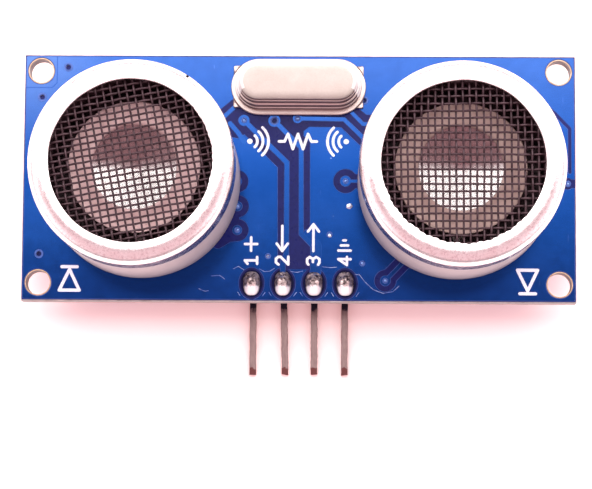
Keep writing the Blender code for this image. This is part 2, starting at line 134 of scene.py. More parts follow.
def arc(centre, radius, start, end, steps):
    """Points on an arc, angles in degrees."""
    return [
        (
            centre[0] + radius * math.cos(math.radians(start + (end - start) * k / steps)),
            centre[1] + radius * math.sin(math.radians(start + (end - start) * k / steps)),
        )
        for k in range(steps + 1)
    ]


def disc(x, y, radius, steps=40, stretch=1.0):
    return [
        (x + radius * math.cos(2 * math.pi * k / steps), y + stretch * radius * math.sin(2 * math.pi * k / steps))
        for k in range(steps)
    ]


def rectangle(x0, y0, x1, y1, corner=0.0):
    if not corner:
        return [(x0, y0), (x1, y0), (x1, y1), (x0, y1)]
    return (
        arc((x1 - corner, y0 + corner), corner, -90, 0, 6)
        + arc((x1 - corner, y1 - corner), corner, 0, 90, 6)
        + arc((x0 + corner, y1 - corner), corner, 90, 180, 6)
        + arc((x0 + corner, y0 + corner), corner, 180, 270, 6)
    )


def ribbon(points, width, steps=8):
    """The outline of a line of that width, with mitred bends and round ends."""
    p = np.asarray(points, float)
    along = p[1:] - p[:-1]
    along /= np.linalg.norm(along, axis=1)[:, None]
    left = np.stack([-along[:, 1], along[:, 0]], 1)
    offsets = [left[0]]
    for a, b in zip(left, left[1:]):
        both = (a + b) / np.linalg.norm(a + b)
        offsets.append(both / max(0.35, float(both @ a)))
    offsets.append(left[-1])
    offsets = np.array(offsets) * width / 2

    def cap(centre, start):
        turn = math.atan2(start[1], start[0])
        return [
            (
                centre[0] + width / 2 * math.cos(turn + math.pi * k / steps),
                centre[1] + width / 2 * math.sin(turn + math.pi * k / steps),
            )
            for k in range(1, steps)
        ]

    right_side = [tuple(q) for q in p - offsets]
    left_side = [tuple(q) for q in p + offsets]
    return right_side + cap(p[-1], -left[-1]) + left_side[::-1] + cap(p[0], left[0])


def prism(outline, low, high):
    points = np.asarray(outline, float)
    area = np.sum(points[:, 0] * np.roll(points[:, 1], -1) - np.roll(points[:, 0], -1) * points[:, 1])
    if area < 0:
        points = points[::-1]
    n = len(points)
    verts = np.concatenate([np.column_stack([points, np.full(n, z)]) for z in (low, high)])
    faces = [list(range(n))[::-1], list(range(n, 2 * n))]
    faces += [[k, (k + 1) % n, n + (k + 1) % n, n + k] for k in range(n)]
    return verts, faces


def temporary(part):
    mesh = bpy.data.meshes.new("shape")
    mesh.from_pydata((np.asarray(part[0], float) * MM).tolist(), [], part[1])
    obj = bpy.data.objects.new("shape", mesh)
    bpy.context.scene.collection.objects.link(obj)
    return obj


def combined(base, added=(), removed=()):
    """base, with the shapes in added joined to it and those in removed cut out."""
    obj = temporary(base)
    tools = []
    for operation, parts in (("UNION", added), ("DIFFERENCE", removed)):
        for part in parts:
            tool = temporary(part)
            tools.append(tool)
            step = obj.modifiers.new("step", "BOOLEAN")
            step.operation = operation
            step.solver = "MANIFOLD"
            step.object = tool
    graph = bpy.context.evaluated_depsgraph_get()
    mesh = bpy.data.meshes.new_from_object(obj.evaluated_get(graph))
    for spare in [obj, *tools]:
        data = spare.data
        bpy.data.objects.remove(spare)
        bpy.data.meshes.remove(data)
    if not mesh.polygons:
        raise RuntimeError("a combined shape came out empty")
    return mesh


def layer(name, outlines, low, high, material, removed=(), edge=0.0, rim=None):
    """A flat layer on the board: outlines joined, with others cut out of it.
    Its edges are chamfered by edge, in the material rim if one is given."""
    parts = [prism(outline, low, high) for outline in outlines]
    cuts = [prism(outline, low - 0.5, high + 0.5) for outline in removed]
    mesh = combined(parts[0], parts[1:], cuts)
    moved = np.empty(len(mesh.vertices) * 3, np.float32)
    mesh.vertices.foreach_get("co", moved)
    moved = moved.reshape(-1, 3) + np.array([BX, BY, 0.0], np.float32) * MM
    mesh.vertices.foreach_set("co", moved.ravel())
    mesh.materials.clear()
    mesh.materials.append(material)
    if rim:
        mesh.materials.append(rim)
    if edge:
        slant_walls(mesh, low if abs(low) < abs(high) and high <= BACK + 0.1 else high, edge, bool(rim))
    return finish_piece(name, mesh, angle=30)


def slant_walls(mesh, outer, inset, own_material):
    """Draws the outline at height outer in by inset, so that the walls lean,
    and gives the walls the second material."""
    bm = bmesh.new()
    bm.from_mesh(mesh)
    bm.normal_update()
    moves = {}
    for vert in bm.verts:
        if abs(vert.co.z - outer * MM) > 0.002 * MM:
            continue
        sides = []
        for face in vert.link_faces:
            n = face.normal
            if abs(n.z) < 0.5 and not any(n.x * a + n.y * b > 0.9999 for a, b in sides):
                sides.append((n.x, n.y))
        if len(sides) == 1:
            moves[vert] = sides[0]
        elif len(sides) == 2:
            (a, b), (c, d) = sides
            share = max(0.3, 1 + a * c + b * d)
            moves[vert] = ((a + c) / share, (b + d) / share)
    flat = [f for f in bm.faces if abs(f.normal.z) > 0.5 and all(abs(v.co.z - outer * MM) < 0.002 * MM for v in f.verts)]
    up = sum(f.normal.z * f.calc_area() for f in flat) > 0
    count = {}
    for face in flat:
        for edge in face.edges:
            count[edge] = count.get(edge, 0) + 1
    border = [tuple(edge.verts) for edge, times in count.items() if times == 1]
    for vert, (x, y) in moves.items():
        vert.co.x -= x * inset * MM
        vert.co.y -= y * inset * MM
    bmesh.ops.delete(bm, geom=flat, context="FACES_ONLY")
    used = sorted({v for pair in border for v in pair}, key=lambda v: v.index)
    number = {v: k for k, v in enumerate(used)}
    places = [Vector((v.co.x / MM, v.co.y / MM)) for v in used]
    found, _, triangles, origin, _, _ = delaunay_2d_cdt(
        places, [(number[a], number[b]) for a, b in border], [], 0, 1e-6
    )
    spots = np.array([tuple(v) for v in found])
    ends = np.array([[tuple(places[number[a]]), tuple(places[number[b]])] for a, b in border])
    middles = spots[np.array(triangles)].mean(1)
    (x0, y0), (x1, y1) = ends[:, 0].T, ends[:, 1].T
    within = np.zeros(len(middles), bool)
    for k, (x, y) in enumerate(middles):
        crossed = (y0 > y) != (y1 > y)
        within[k] = np.count_nonzero(x0[crossed] + (y - y0[crossed]) * (x1 - x0)[crossed] / (y1 - y0)[crossed] > x) % 2
    verts = [used[source[0]] if source else bm.verts.new((*(spots[k] * MM), outer * MM)) for k, source in enumerate(origin)]
    for k, corners_of in enumerate(triangles):
        if within[k]:
            ring = [verts[n] for n in (corners_of if up else corners_of[::-1])]
            if len(set(ring)) == 3 and not bm.faces.get(ring):
                bm.faces.new(ring)
    bm.normal_update()
    if own_material:
        for face in bm.faces:
            face.material_index = 1 if abs(face.normal.z) < 0.93 else 0
    bm.to_mesh(mesh)
    bm.free()


def tube(path, radius, sides, side=None):
    """A round wire along path, flat at its ends."""
    path = np.asarray(path, float)
    ahead = np.gradient(path, axis=0)
    ahead /= np.linalg.norm(ahead, axis=1)[:, None]
    if side is None:
        side = np.array([0.0, 0.0, 1.0]) if abs(ahead[0][2]) < 0.9 else np.array([1.0, 0.0, 0.0])
    first = np.cross(ahead, side)
    first /= np.linalg.norm(first, axis=1)[:, None]
    second = np.cross(ahead, first)
    turn = 2 * math.pi * np.arange(sides) / sides
    rings = path[:, None] + radius * (
        np.cos(turn)[None, :, None] * first[:, None] + np.sin(turn)[None, :, None] * second[:, None]
    )
    n, faces = len(path), []
    for k in range(n - 1):
        for s in range(sides):
            t = (s + 1) % sides
            faces.append([k * sides + s, k * sides + t, (k + 1) * sides + t, (k + 1) * sides + s])
    faces.append(list(range(sides))[::-1])
    faces.append([(n - 1) * sides + s for s in range(sides)])
    return rings.reshape(-1, 3), faces


# ---------------------------------------------------------------- materials
class Finish:
    """A Principled material whose patterns are made from nodes, with the row
    frame's position in mm as their coordinates."""

    def __init__(self, name, roughness=0.5, metallic=0.0, colour=(0.8, 0.8, 0.8)):
        self.material = bpy.data.materials.new(name)
        self.material.use_nodes = True
        self.tree = self.material.node_tree
        self.shader = self.tree.nodes["Principled BSDF"]
        self.where = self.node("ShaderNodeTexCoord").outputs["Object"]
        self.set("Roughness", roughness)
        self.set("Metallic", metallic)
        self.set("Base Color", (*colour, 1.0))

    def node(self, kind, **values):
        made = self.tree.nodes.new(kind)
        for key, value in values.items():
            setattr(made, key, value)
        return made

    def put(self, socket, value):
        if isinstance(value, bpy.types.NodeSocket):
            self.tree.links.new(value, socket)
        elif isinstance(value, tuple) and len(value) == 3 and socket.type == "RGBA":
            socket.default_value = (*value, 1.0)
        else:
            socket.default_value = value

    def set(self, name, value):
        self.put(self.shader.inputs[name], value)

    def place(self, stretch=(1, 1, 1), turn=0.0):
        made = self.node("ShaderNodeMapping")
        made.inputs["Scale"].default_value = tuple(1000 * s for s in stretch)
        made.inputs["Rotation"].default_value = (0, 0, math.radians(turn))
        self.put(made.inputs["Vector"], self.where)
        return made.outputs["Vector"]

    def noise(self, per_mm, detail=2.0, rough=0.5, stretch=(1, 1, 1), twist=0.0):
        made = self.node("ShaderNodeTexNoise")
        made.inputs["Scale"].default_value = per_mm
        made.inputs["Detail"].default_value = detail
        made.inputs["Roughness"].default_value = rough
        made.inputs["Distortion"].default_value = twist
        self.put(made.inputs["Vector"], self.place(stretch))
        return made.outputs["Fac"]

    def cells(self, per_mm, stretch=(1, 1, 1)):
        made = self.node("ShaderNodeTexVoronoi")
        made.inputs["Scale"].default_value = per_mm
        self.put(made.inputs["Vector"], self.place(stretch))
        return made.outputs["Distance"]

    def span(self, value, a, b, to_a=0.0, to_b=1.0):
        made = self.node("ShaderNodeMapRange")
        for key, number in (("From Min", a), ("From Max", b), ("To Min", to_a), ("To Max", to_b)):
            made.inputs[key].default_value = number
        self.put(made.inputs["Value"], value)
        return made.outputs["Result"]

    def maths(self, operation, a, b=0.0):
        made = self.node("ShaderNodeMath", operation=operation)
        self.put(made.inputs[0], a)
        self.put(made.inputs[1], b)
        return made.outputs[0]

    def mix(self, share, a, b):
        made = self.node("ShaderNodeMix", data_type="RGBA")
        self.put(made.inputs[0], share)
        self.put(made.inputs[6], a)
        self.put(made.inputs[7], b)
        return made.outputs[2]

    def axis(self, which):
        made = self.node("ShaderNodeSeparateXYZ")
        self.put(made.inputs[0], self.where)
        return made.outputs[which]

    def bump(self, height, strength, distance_mm, under=None):
        made = self.node("ShaderNodeBump")
        made.inputs["Strength"].default_value = strength
        made.inputs["Distance"].default_value = distance_mm * MM
        self.put(made.inputs["Height"], height)
        if under is not None:
            self.put(made.inputs["Normal"], under)
        self.put(self.shader.inputs["Normal"], made.outputs["Normal"])
        return made.outputs["Normal"]


def specks(f, per_mm, size, share):
    """A mask of small scattered dots: cells whose middle is near, thinned out."""
    near = f.span(f.cells(per_mm), size, size * 0.45, 0.0, 1.0)
    some = f.span(f.noise(per_mm * 0.45, 1.0), share, share + 0.04, 0.0, 1.0)
    return f.maths("MULTIPLY", near, some)


def mask_copper(name="mask_over_copper", base=(0.006, 0.049, 0.238), other=(0.009, 0.058, 0.268)):
    """Blue solder mask over copper: the copper's sheen comes through the blue. It carries a painted highlight towards
    the top left and painted shade towards the bottom.
    """
    f = Finish(name, 0.15, 0.93)
    cloud = f.noise(0.25, 2.0, 0.5)
    grain = f.noise(6.0, 3.0, 0.6, (0.35, 1.6, 1.0))
    colour = f.mix(f.span(cloud, 0.35, 0.65), base, other)
    colour = f.mix(f.span(grain, 0.5, 0.8, 0.0, 0.4), colour, (0.014, 0.072, 0.31))
    colour = f.mix(specks(f, 1.15, 0.075, 0.60), colour, (0.20, 0.30, 0.62))
    # Painted highlight: the mask is painted paler towards the top left, as glare from the light behind the board's top
    # edge.
    painted_glare = f.maths("MULTIPLY", f.span(f.axis(1), 0.0045, 0.0120), f.span(f.axis(0), -0.0150, -0.0212, 0.33, 0.9))
    colour = f.mix(painted_glare, colour, (0.068, 0.128, 0.33))
    # Painted shade: the mask is painted darker towards the board's bottom, away from the light.
    colour = f.mix(f.span(f.axis(1), -0.0020, -0.0060, 0.0, 0.8), colour, (0.0065, 0.038, 0.195))
    scratch = f.span(f.noise(0.9, 2.0, 0.5, (6.0, 0.5, 1.0), 0.4), 0.755, 0.775, 0.0, 0.45)
    colour = f.mix(scratch, colour, (0.10, 0.18, 0.50))
    f.set("Base Color", colour)
    f.set("Roughness", f.span(f.noise(1.2, 2.0), 0.3, 0.7, 0.12, 0.18))
    f.set("Specular IOR Level", 0.2)
    f.bump(grain, 0.10, 0.004)
    return f.material


def mask_dark():
    """The same mask where there is no copper under it: deep violet blue."""
    f = Finish("mask_over_laminate", 0.3)
    weave = f.noise(3.2, 2.0, 0.5)
    colour = f.mix(f.span(weave, 0.35, 0.7), (0.003, 0.006, 0.092), (0.005, 0.009, 0.115))
    # Painted highlight: the mask is painted paler towards the board's top, where the light falls.
    colour = f.mix(f.span(f.axis(1), 0.0040, 0.0090, 0.0, 0.8), colour, (0.014, 0.016, 0.135))
    colour = f.mix(specks(f, 1.4, 0.08, 0.60), colour, (0.12, 0.14, 0.36))
    f.set("Base Color", colour)
    f.set("Roughness", f.span(f.noise(2.0, 2.0), 0.3, 0.7, 0.26, 0.36))
    f.set("Specular IOR Level", 0.16)
    f.bump(weave, 0.1, 0.006)
    return f.material


def mask_edge():
    """The mask where it thins over the copper's edge, paler than the rest."""
    f = Finish("mask_over_edge", 0.35, 0.35)
    tone = f.noise(2.5, 2.0)
    f.set("Base Color", f.mix(f.span(tone, 0.3, 0.7), (0.035, 0.085, 0.32), (0.065, 0.125, 0.42)))
    f.bump(tone, 0.1, 0.004)
    return f.material


def plug():
    """Mask that fills a small hole, a little paler and shinier."""
    f = Finish("mask_plug", 0.15, 0.4)
    tone = f.noise(6.0, 2.0)
    f.set("Base Color", f.mix(f.span(tone, 0.3, 0.7), (0.10, 0.20, 0.52), (0.22, 0.34, 0.66)))
    f.bump(tone, 0.4, 0.01)
    return f.material


def laminate():
    """The sawn edge of glass cloth and resin, pale and a little fibrous."""
    f = Finish("glass_laminate", 0.62)
    fibres = f.noise(2.4, 4.0, 0.65, (0.5, 0.5, 5.0))
    cloud = f.noise(1.1, 3.0)
    colour = f.mix(f.span(fibres, 0.35, 0.65), (0.25, 0.21, 0.205), (0.44, 0.39, 0.40))
    colour = f.mix(f.span(cloud, 0.55, 0.75, 0.0, 0.5), colour, (0.55, 0.42, 0.38))
    f.set("Base Color", colour)
    f.bump(fibres, 0.6, 0.03)
    return f.material


def silk_white():
    f = Finish("print_white", 0.5)
    wear = f.noise(4.5, 3.0, 0.6)
    f.set("Base Color", f.mix(f.span(wear, 0.3, 0.75), (0.93, 0.94, 0.98), (0.72, 0.76, 0.90)))
    f.bump(wear, 0.3, 0.01)
    return f.material


def can_metal():
    """Drawn aluminium: a polished mouth and shoulder, and a satin wall."""
    f = Finish("drawn_aluminium", 0.25, 1.0)
    height = f.axis(2)
    cloud = f.noise(0.9, 4.0, 0.6)
    fine = f.noise(5.0, 4.0, 0.7)
    brushed = f.noise(1.0, 3.0, 0.6, (1.2, 1.2, 16.0))
    colour = f.mix(f.span(cloud, 0.35, 0.7), (0.93, 0.90, 0.90), (0.90, 0.82, 0.82))
    colour = f.mix(f.span(fine, 0.5, 0.68, 0.0, 0.6), colour, (0.70, 0.50, 0.52))
    colour = f.mix(f.span(height, 0.0160, 0.0152), colour, f.mix(f.span(brushed, 0.3, 0.7), (0.66, 0.63, 0.64), (0.78, 0.75, 0.76)))
    colour = f.mix(specks(f, 0.45, 0.07, 0.62), colour, (0.10, 0.08, 0.11))
    f.set("Base Color", f.mix(satin_share(f, height), colour, f.mix(f.span(brushed, 0.3, 0.7), (0.44, 0.395, 0.405), (0.55, 0.505, 0.515))))
    top = f.span(f.noise(2.4, 3.0, 0.6), 0.3, 0.7, 0.15, 0.26)
    satin = f.span(brushed, 0.3, 0.7, 0.40, 0.52)
    share = satin_share(f, height)
    f.set("Roughness", f.maths("ADD", f.maths("MULTIPLY", share, satin), f.maths("MULTIPLY", f.maths("SUBTRACT", 1.0, share), top)))
    f.set("Metallic", f.span(share, 0.0, 1.0, 1.0, 0.35))
    f.bump(brushed, 0.12, 0.01, f.bump(f.noise(3.0, 4.0, 0.6), 0.25, 0.010))
    return f.material


def satin_share(f, height):
    """1 on the satin lower wall, 0 on the polished top, with a nearly straight
    line between them."""
    line = f.maths("MULTIPLY", f.span(f.noise(0.35, 2.0), 0.3, 0.7, -0.05, 0.05), MM)
    return f.span(f.maths("ADD", height, line), 0.0128, 0.0134, 1.0, 0.0)


def wire_dark():
    f = Finish("woven_wire_oxide", 0.36, 0.25)
    tone = f.noise(1.6, 3.0)
    colour = f.mix(f.span(tone, 0.3, 0.7), (0.034, 0.016, 0.021), (0.088, 0.050, 0.060))
    colour = f.mix(specks(f, 1.0, 0.10, 0.63), colour, (0.50, 0.42, 0.43))
    f.set("Base Color", colour)
    f.set("Roughness", f.span(f.noise(6.0, 2.0), 0.3, 0.7, 0.30, 0.46))
    f.set("Specular IOR Level", 0.35)
    f.bump(f.noise(9.0, 2.0), 0.3, 0.01)
    return f.material


def cone_metal(label, middle):
    """Spun aluminium, with its half above the row frame's y = middle mm painted dark pinkish brown: painted shade and
    reflection for the half of the funnel that faces away from the light.
    """
    f = Finish("spun_cone_" + label, 0.15, 1.0)
    cloud = f.noise(1.3, 4.0, 0.6)
    grain = f.noise(6.0, 2.0)
    colour = f.mix(f.span(cloud, 0.3, 0.7), (0.90, 0.82, 0.81), (0.97, 0.92, 0.91))
    # Painted shade: the dark colour given to the cone's upper half, which faces away from the light.
    painted_shade_half = f.mix(f.span(cloud, 0.3, 0.7), (0.42, 0.27, 0.285), (0.54, 0.37, 0.38))
    height = f.maths("ADD", f.axis(1), f.span(cloud, 0.3, 0.7, -0.0003, 0.0003))
    f.set("Base Color", f.mix(f.span(height, (middle - 0.1) * MM, (middle + 0.7) * MM), colour, painted_shade_half))
    f.set("Roughness", f.span(grain, 0.3, 0.7, 0.20, 0.26))
    f.set("Metallic", 0.78)
    return f.material


def brim_metal(label, dark, light):
    f = Finish("dull_cone_brim_" + label, 0.5, 0.9)
    cloud = f.noise(0.9, 3.0, 0.6)
    grain = f.noise(5.0, 3.0)
    colour = f.mix(f.span(cloud, 0.3, 0.7), dark, light)
    colour = f.mix(f.span(grain, 0.58, 0.78, 0.0, 0.6), colour, (0.46, 0.26, 0.26))
    f.set("Base Color", colour)
    f.bump(grain, 0.2, 0.01)
    return f.material


def plain_metal(name, dark, light, rough, per_mm=2.0, grain=0.012, speck=None):
    f = Finish(name, rough, 1.0)
    cloud = f.noise(per_mm, 4.0, 0.6)
    colour = f.mix(f.span(cloud, 0.3, 0.7), dark, light)
    if speck:
        colour = f.mix(specks(f, 2.0, 0.12, 0.58), colour, speck)
    f.set("Base Color", colour)
    f.set("Roughness", f.span(f.noise(per_mm * 1.7, 2.0), 0.3, 0.7, rough * 0.75, rough * 1.3))
    f.bump(f.noise(per_mm * 4, 3.0, 0.6), 0.35, grain)
    return f.material


def solder_metal():
    """Solder, bright with a painted highlight on its lower side towards the pins' ends, and darker, mottled brown grey
    and rougher on the side away from them. The split by position is partly a rougher finish and partly painted light
    and shade."""
    f = Finish("solder_hand_made", 0.13, 1.0)
    cloud = f.noise(1.6, 3.0)
    grain = f.noise(3.4, 4.0, 0.65)
    bright = f.mix(f.span(cloud, 0.3, 0.7), (0.95, 0.94, 0.94), (0.99, 0.98, 0.98))
    dull = f.mix(f.span(grain, 0.40, 0.60), (0.050, 0.030, 0.034), (0.66, 0.55, 0.54))
    along = f.node("ShaderNodeMath", operation="WRAP")
    f.put(along.inputs[0], f.maths("SUBTRACT", f.axis(0), SOLDER_X))
    along.inputs[1].default_value, along.inputs[2].default_value = 1.27 * MM, -1.27 * MM
    across = f.maths("MULTIPLY", along.outputs[0], 1 / (0.60 * MM))
    down = f.maths("MULTIPLY", f.maths("SUBTRACT", f.axis(1), SOLDER_ROW - 0.34 * MM), 1 / (0.72 * MM))
    reach = f.maths("ADD", f.maths("MULTIPLY", across, across), f.maths("MULTIPLY", down, down))
    oval = f.span(reach, 0.85, 1.15)
    edge = f.maths("ADD", f.axis(1), f.span(grain, 0.3, 0.7, -0.00012, 0.00012))
    share = f.maths("MAXIMUM", oval, f.span(edge, SOLDER_ROW - 0.00030, SOLDER_ROW - 0.00018))
    # Painted shade: a near-black band along the joint's lower edge, where it meets the board.
    painted_foot_shade = f.span(f.axis(1), SOLDER_ROW - 0.00032, SOLDER_ROW - 0.00050)
    dull = f.mix(painted_foot_shade, dull, (0.020, 0.014, 0.020))
    f.set("Base Color", f.mix(share, bright, dull))
    f.set("Roughness", f.span(share, 0.0, 1.0, 0.16, 0.34))
    f.set("Metallic", f.span(share, 0.0, 1.0, 0.12, 0.7))
    f.bump(grain, 0.25, 0.03)
    return f.material


def crystal_metal():
    f = Finish("nickel_silver", 0.28, 1.0)
    cloud = f.noise(1.0, 4.0, 0.6)
    grain = f.noise(9.0, 2.0, 0.6)
    colour = f.mix(f.span(cloud, 0.3, 0.7), (0.66, 0.55, 0.52), (0.57, 0.46, 0.43))
    f.set("Base Color", f.mix(f.span(grain, 0.5, 0.75, 0.0, 0.3), colour, (0.45, 0.34, 0.32)))
    f.set("Roughness", f.span(grain, 0.3, 0.7, 0.28, 0.38))
    f.bump(grain, 0.15, 0.005)
    return f.material


def crystal_top():
    """The can's flat top, duller than its sides."""
    f = Finish("nickel_silver_dull", 0.55, 0.6)
    cloud = f.noise(0.8, 4.0, 0.6)
    grain = f.noise(9.0, 3.0, 0.6)
    colour = f.mix(f.span(cloud, 0.3, 0.7), (0.49, 0.42, 0.385), (0.54, 0.475, 0.44))
    f.set("Base Color", f.mix(f.span(grain, 0.5, 0.75, 0.0, 0.25), colour, (0.38, 0.30, 0.28)))
    f.set("Roughness", f.span(grain, 0.3, 0.7, 0.50, 0.60))
    f.bump(grain, 0.2, 0.006)
    return f.material


def crystal_side():
    """The can's ends and far side, painted nearly white as light."""
    f = Finish("nickel_silver_painted_light", 0.5, 0.25)
    cloud = f.noise(1.3, 4.0, 0.6)
    f.set("Base Color", f.mix(f.span(cloud, 0.3, 0.7), (0.74, 0.66, 0.64), (0.86, 0.80, 0.78)))
    f.bump(cloud, 0.2, 0.006)
    return f.material


def crystal_painted_shade():
    """The steep bands between the can's steps on the side towards the pins, painted dark brown as shade."""
    f = Finish("nickel_silver_painted_shade", 0.5, 0.7)
    cloud = f.noise(1.5, 4.0, 0.6)
    f.set("Base Color", f.mix(f.span(cloud, 0.3, 0.7), (0.20, 0.125, 0.115), (0.30, 0.20, 0.19)))
    f.bump(cloud, 0.2, 0.006)
    return f.material


def pin_metal():
    """Tinned brass wire, dull, with its cut end bare and a painted shadow of the board darkening it near the board."""
    f = Finish("header_pin_tin", 0.34, 1.0)
    along = f.axis(1)
    streak = f.noise(2.4, 4.0, 0.6, (3.0, 0.6, 3.0))
    colour = f.mix(f.span(streak, 0.3, 0.7), (0.205, 0.140, 0.137), (0.275, 0.198, 0.193))
    uneven = f.maths("MULTIPLY", f.span(f.noise(3.0, 2.0), 0.3, 0.7, -0.14, 0.14), MM)
    at = f.maths("ADD", along, uneven)
    colour = f.mix(f.span(at, -0.01240, -0.01245), colour, (0.105, 0.020, 0.020))
    # Painted shadow: the pin is painted dark where it leaves the board's edge.
    colour = f.mix(f.span(at, -0.00772, -0.00750), colour, (0.030, 0.024, 0.040))
    f.set("Base Color", colour)
    f.set("Metallic", f.span(at, -0.01240, -0.01245, 1.0, 0.35))
    f.set("Roughness", f.span(streak, 0.3, 0.7, 0.32, 0.42))
    f.bump(streak, 0.12, 0.01)
    return f.material


def plastic(name, dark, light, rough, per_mm=3.0, grain=0.012, coat=0.0):
    f = Finish(name, rough)
    cloud = f.noise(per_mm, 4.0, 0.6)
    f.set("Base Color", f.mix(f.span(cloud, 0.3, 0.7), dark, light))
    f.set("Roughness", f.span(f.noise(per_mm * 0.6, 2.0), 0.3, 0.7, rough * 0.8, rough * 1.25))
    f.set("Coat Weight", coat)
    f.bump(f.noise(per_mm * 3, 3.0, 0.6), 0.4, grain)
    return f.material


BLUE, DARK, PALE, PRINT = mask_copper(), mask_dark(), laminate(), silk_white()
EDGE, PLUG, CRYSTAL_TOP, PAINTED_SHADE_BAND, PAINTED_LIT_SIDE = mask_edge(), plug(), crystal_top(), crystal_painted_shade(), crystal_side()
CAN, WIRE, CRYSTAL, PIN = can_metal(), wire_dark(), crystal_metal(), pin_metal()
SOLDER = solder_metal()
TINNED = plain_metal("tinned_copper", (0.68, 0.66, 0.64), (0.86, 0.84, 0.82), 0.28, 2.5)
RIM = plain_metal("plated_hole_rim", (0.42, 0.27, 0.17), (0.70, 0.52, 0.38), 0.36, 3.0)
BRASS = plain_metal("plate_brass_sheet", (0.62, 0.44, 0.20), (0.80, 0.62, 0.34), 0.33, 1.2)
CERAMIC = plastic("piezo_ceramic_silvered", (0.62, 0.58, 0.50), (0.76, 0.73, 0.66), 0.5)
RUBBER = plastic("silicone_seal", (0.62, 0.62, 0.60), (0.80, 0.80, 0.78), 0.55)
BLACK = plastic("moulded_black", (0.010, 0.009, 0.010), (0.026, 0.024, 0.026), 0.42)
CUP = plastic("moulded_cup_brown", (0.085, 0.040, 0.052), (0.125, 0.062, 0.078), 0.5)
CHIP = plastic("moulded_chip", (0.014, 0.014, 0.016), (0.036, 0.036, 0.040), 0.5, 6.0, 0.02)
RESISTOR = plastic("resistor_glaze", (0.012, 0.012, 0.015), (0.03, 0.03, 0.036), 0.3, 4.0, 0.008, 0.4)
CAPACITOR = plastic("capacitor_ceramic", (0.36, 0.23, 0.13), (0.50, 0.34, 0.21), 0.42, 3.0, 0.01)
QUARTZ = plastic("quartz_polished", (0.70, 0.74, 0.78), (0.86, 0.88, 0.90), 0.12)

# -------------------------------------------------------------- the board
HOLE_X, HOLE_Y = 21.25, 8.74
pin_joints = [(corners(f"solder_joint_{k}")[0] + corners(f"solder_joint_{k}")[1]) / 2 for k in range(1, 5)]
pin_places = [(p[0] - BX, p[1] - BY) for p in pin_joints]
mount_places = [(sx * HOLE_X, sy * HOLE_Y) for sx in (-1, 1) for sy in (-1, 1)]
cans = {}
for label in ("tx", "rx"):
    low, high = corners(label + "_housing")
    cans[label] = ((low[0] + high[0]) / 2, (low[1] + high[1]) / 2, low[2])
terminal_places = [
    (cans[label][0] - BX, cans[label][1] - BY + sy * 4.8) for label in ("tx", "rx") for sy in (-1, 1)
]
low, high = corners("crystal_can")
XTAL = ((low[0] + high[0]) / 2, (low[1] + high[1]) / 2, low[2])
crystal_places = [(XTAL[0] - BX + sx * 2.44, XTAL[1] - BY) for sx in (-1, 1)]

open_vias = [(-19.04, 9.05), (-21.15, 6.55), (-21.2, -6.4), (-2.05, 4.67), (5.28, 6.38)]
plugged_vias = [
    (-4.53, 4.69), (-0.15, 4.86), (-5.07, -0.37), (-5.01, -2.42), (-5.02, -4.38), (3.81, -0.31),
    (7.08, -8.47), (2.52, -4.70), (-2.49, -6.51), (5.20, -7.07), (21.95, -0.45),
]

drills = [disc(x, y, 1.0, 64) for x, y in mount_places]
drills += [disc(x, y, 0.65, 32) for x, y in terminal_places]
drills += [disc(x, y, 0.4, 24) for x, y in crystal_places]
drills += [disc(x, y, 0.5, 32) for x, y in pin_places]
drills += [disc(x, y, 0.19, 20) for x, y in open_vias]
dimples = [disc(x, y, 0.13, 16) for x, y in plugged_vias]

half_l = (board_high[0] - board_low[0]) / 2
edge_low, edge_high = board_low[1] - BY, board_high[1] - BY


def inside(gap, corner=0.0):
    return rectangle(-half_l + gap, edge_low + gap, half_l - gap, edge_high - gap, corner)


def sawn_edge(inset, wobble):
    """The board's outline with the small unevenness of a sawn edge."""
    points, sides = [], inside(inset)
    for (x0, y0), (x1, y1) in zip(sides, sides[1:] + sides[:1]):
        count = int(math.hypot(x1 - x0, y1 - y0) / 0.45)
        across = np.array([y1 - y0, x0 - x1]) / math.hypot(x1 - x0, y1 - y0)
        for k in range(count):
            t = k / count
            w = -wobble * abs(0.6 * math.sin(k * 1.7) * math.sin(k * 0.37) + 0.4 * math.sin(k * 2.9 + 1)) * (k > 0)
            points.append((x0 + (x1 - x0) * t + across[0] * w, y0 + (y1 - y0) * t + across[1] * w))
    return points


slab = combined(prism(sawn_edge(0.004, 0.022), BACK, FRONT), (), [prism(d, BACK - 1, FRONT + 1) for d in drills])
points = np.empty(len(slab.vertices) * 3, np.float32)
slab.vertices.foreach_get("co", points)
points = points.reshape(-1, 3) + np.array([BX, BY, 0], np.float32) * MM
slab.vertices.foreach_set("co", points.ravel())
slab.materials.clear()
slab.materials.append(PALE)
board = finish_piece("board_laminate", slab, replaces=("circuit_board",), angle=30)
soften = board.modifiers.new("edge", "BEVEL")
soften.width = 0.03 * MM
soften.segments = 2
soften.limit_method = "ANGLE"
soften.angle_limit = math.radians(60)

MASK = 0.012
COPPER = 0.040
holes_clear = [disc(x, y, 1.07, 64) for x, y in mount_places] + drills[4:]
bare_edge = rectangle(-half_l + 0.03, edge_low + 0.10, half_l - 0.03, edge_high - 0.03, 0.1)
layer("front_mask_film", [bare_edge], FRONT - 0.02, FRONT + MASK, DARK, holes_clear + dimples)

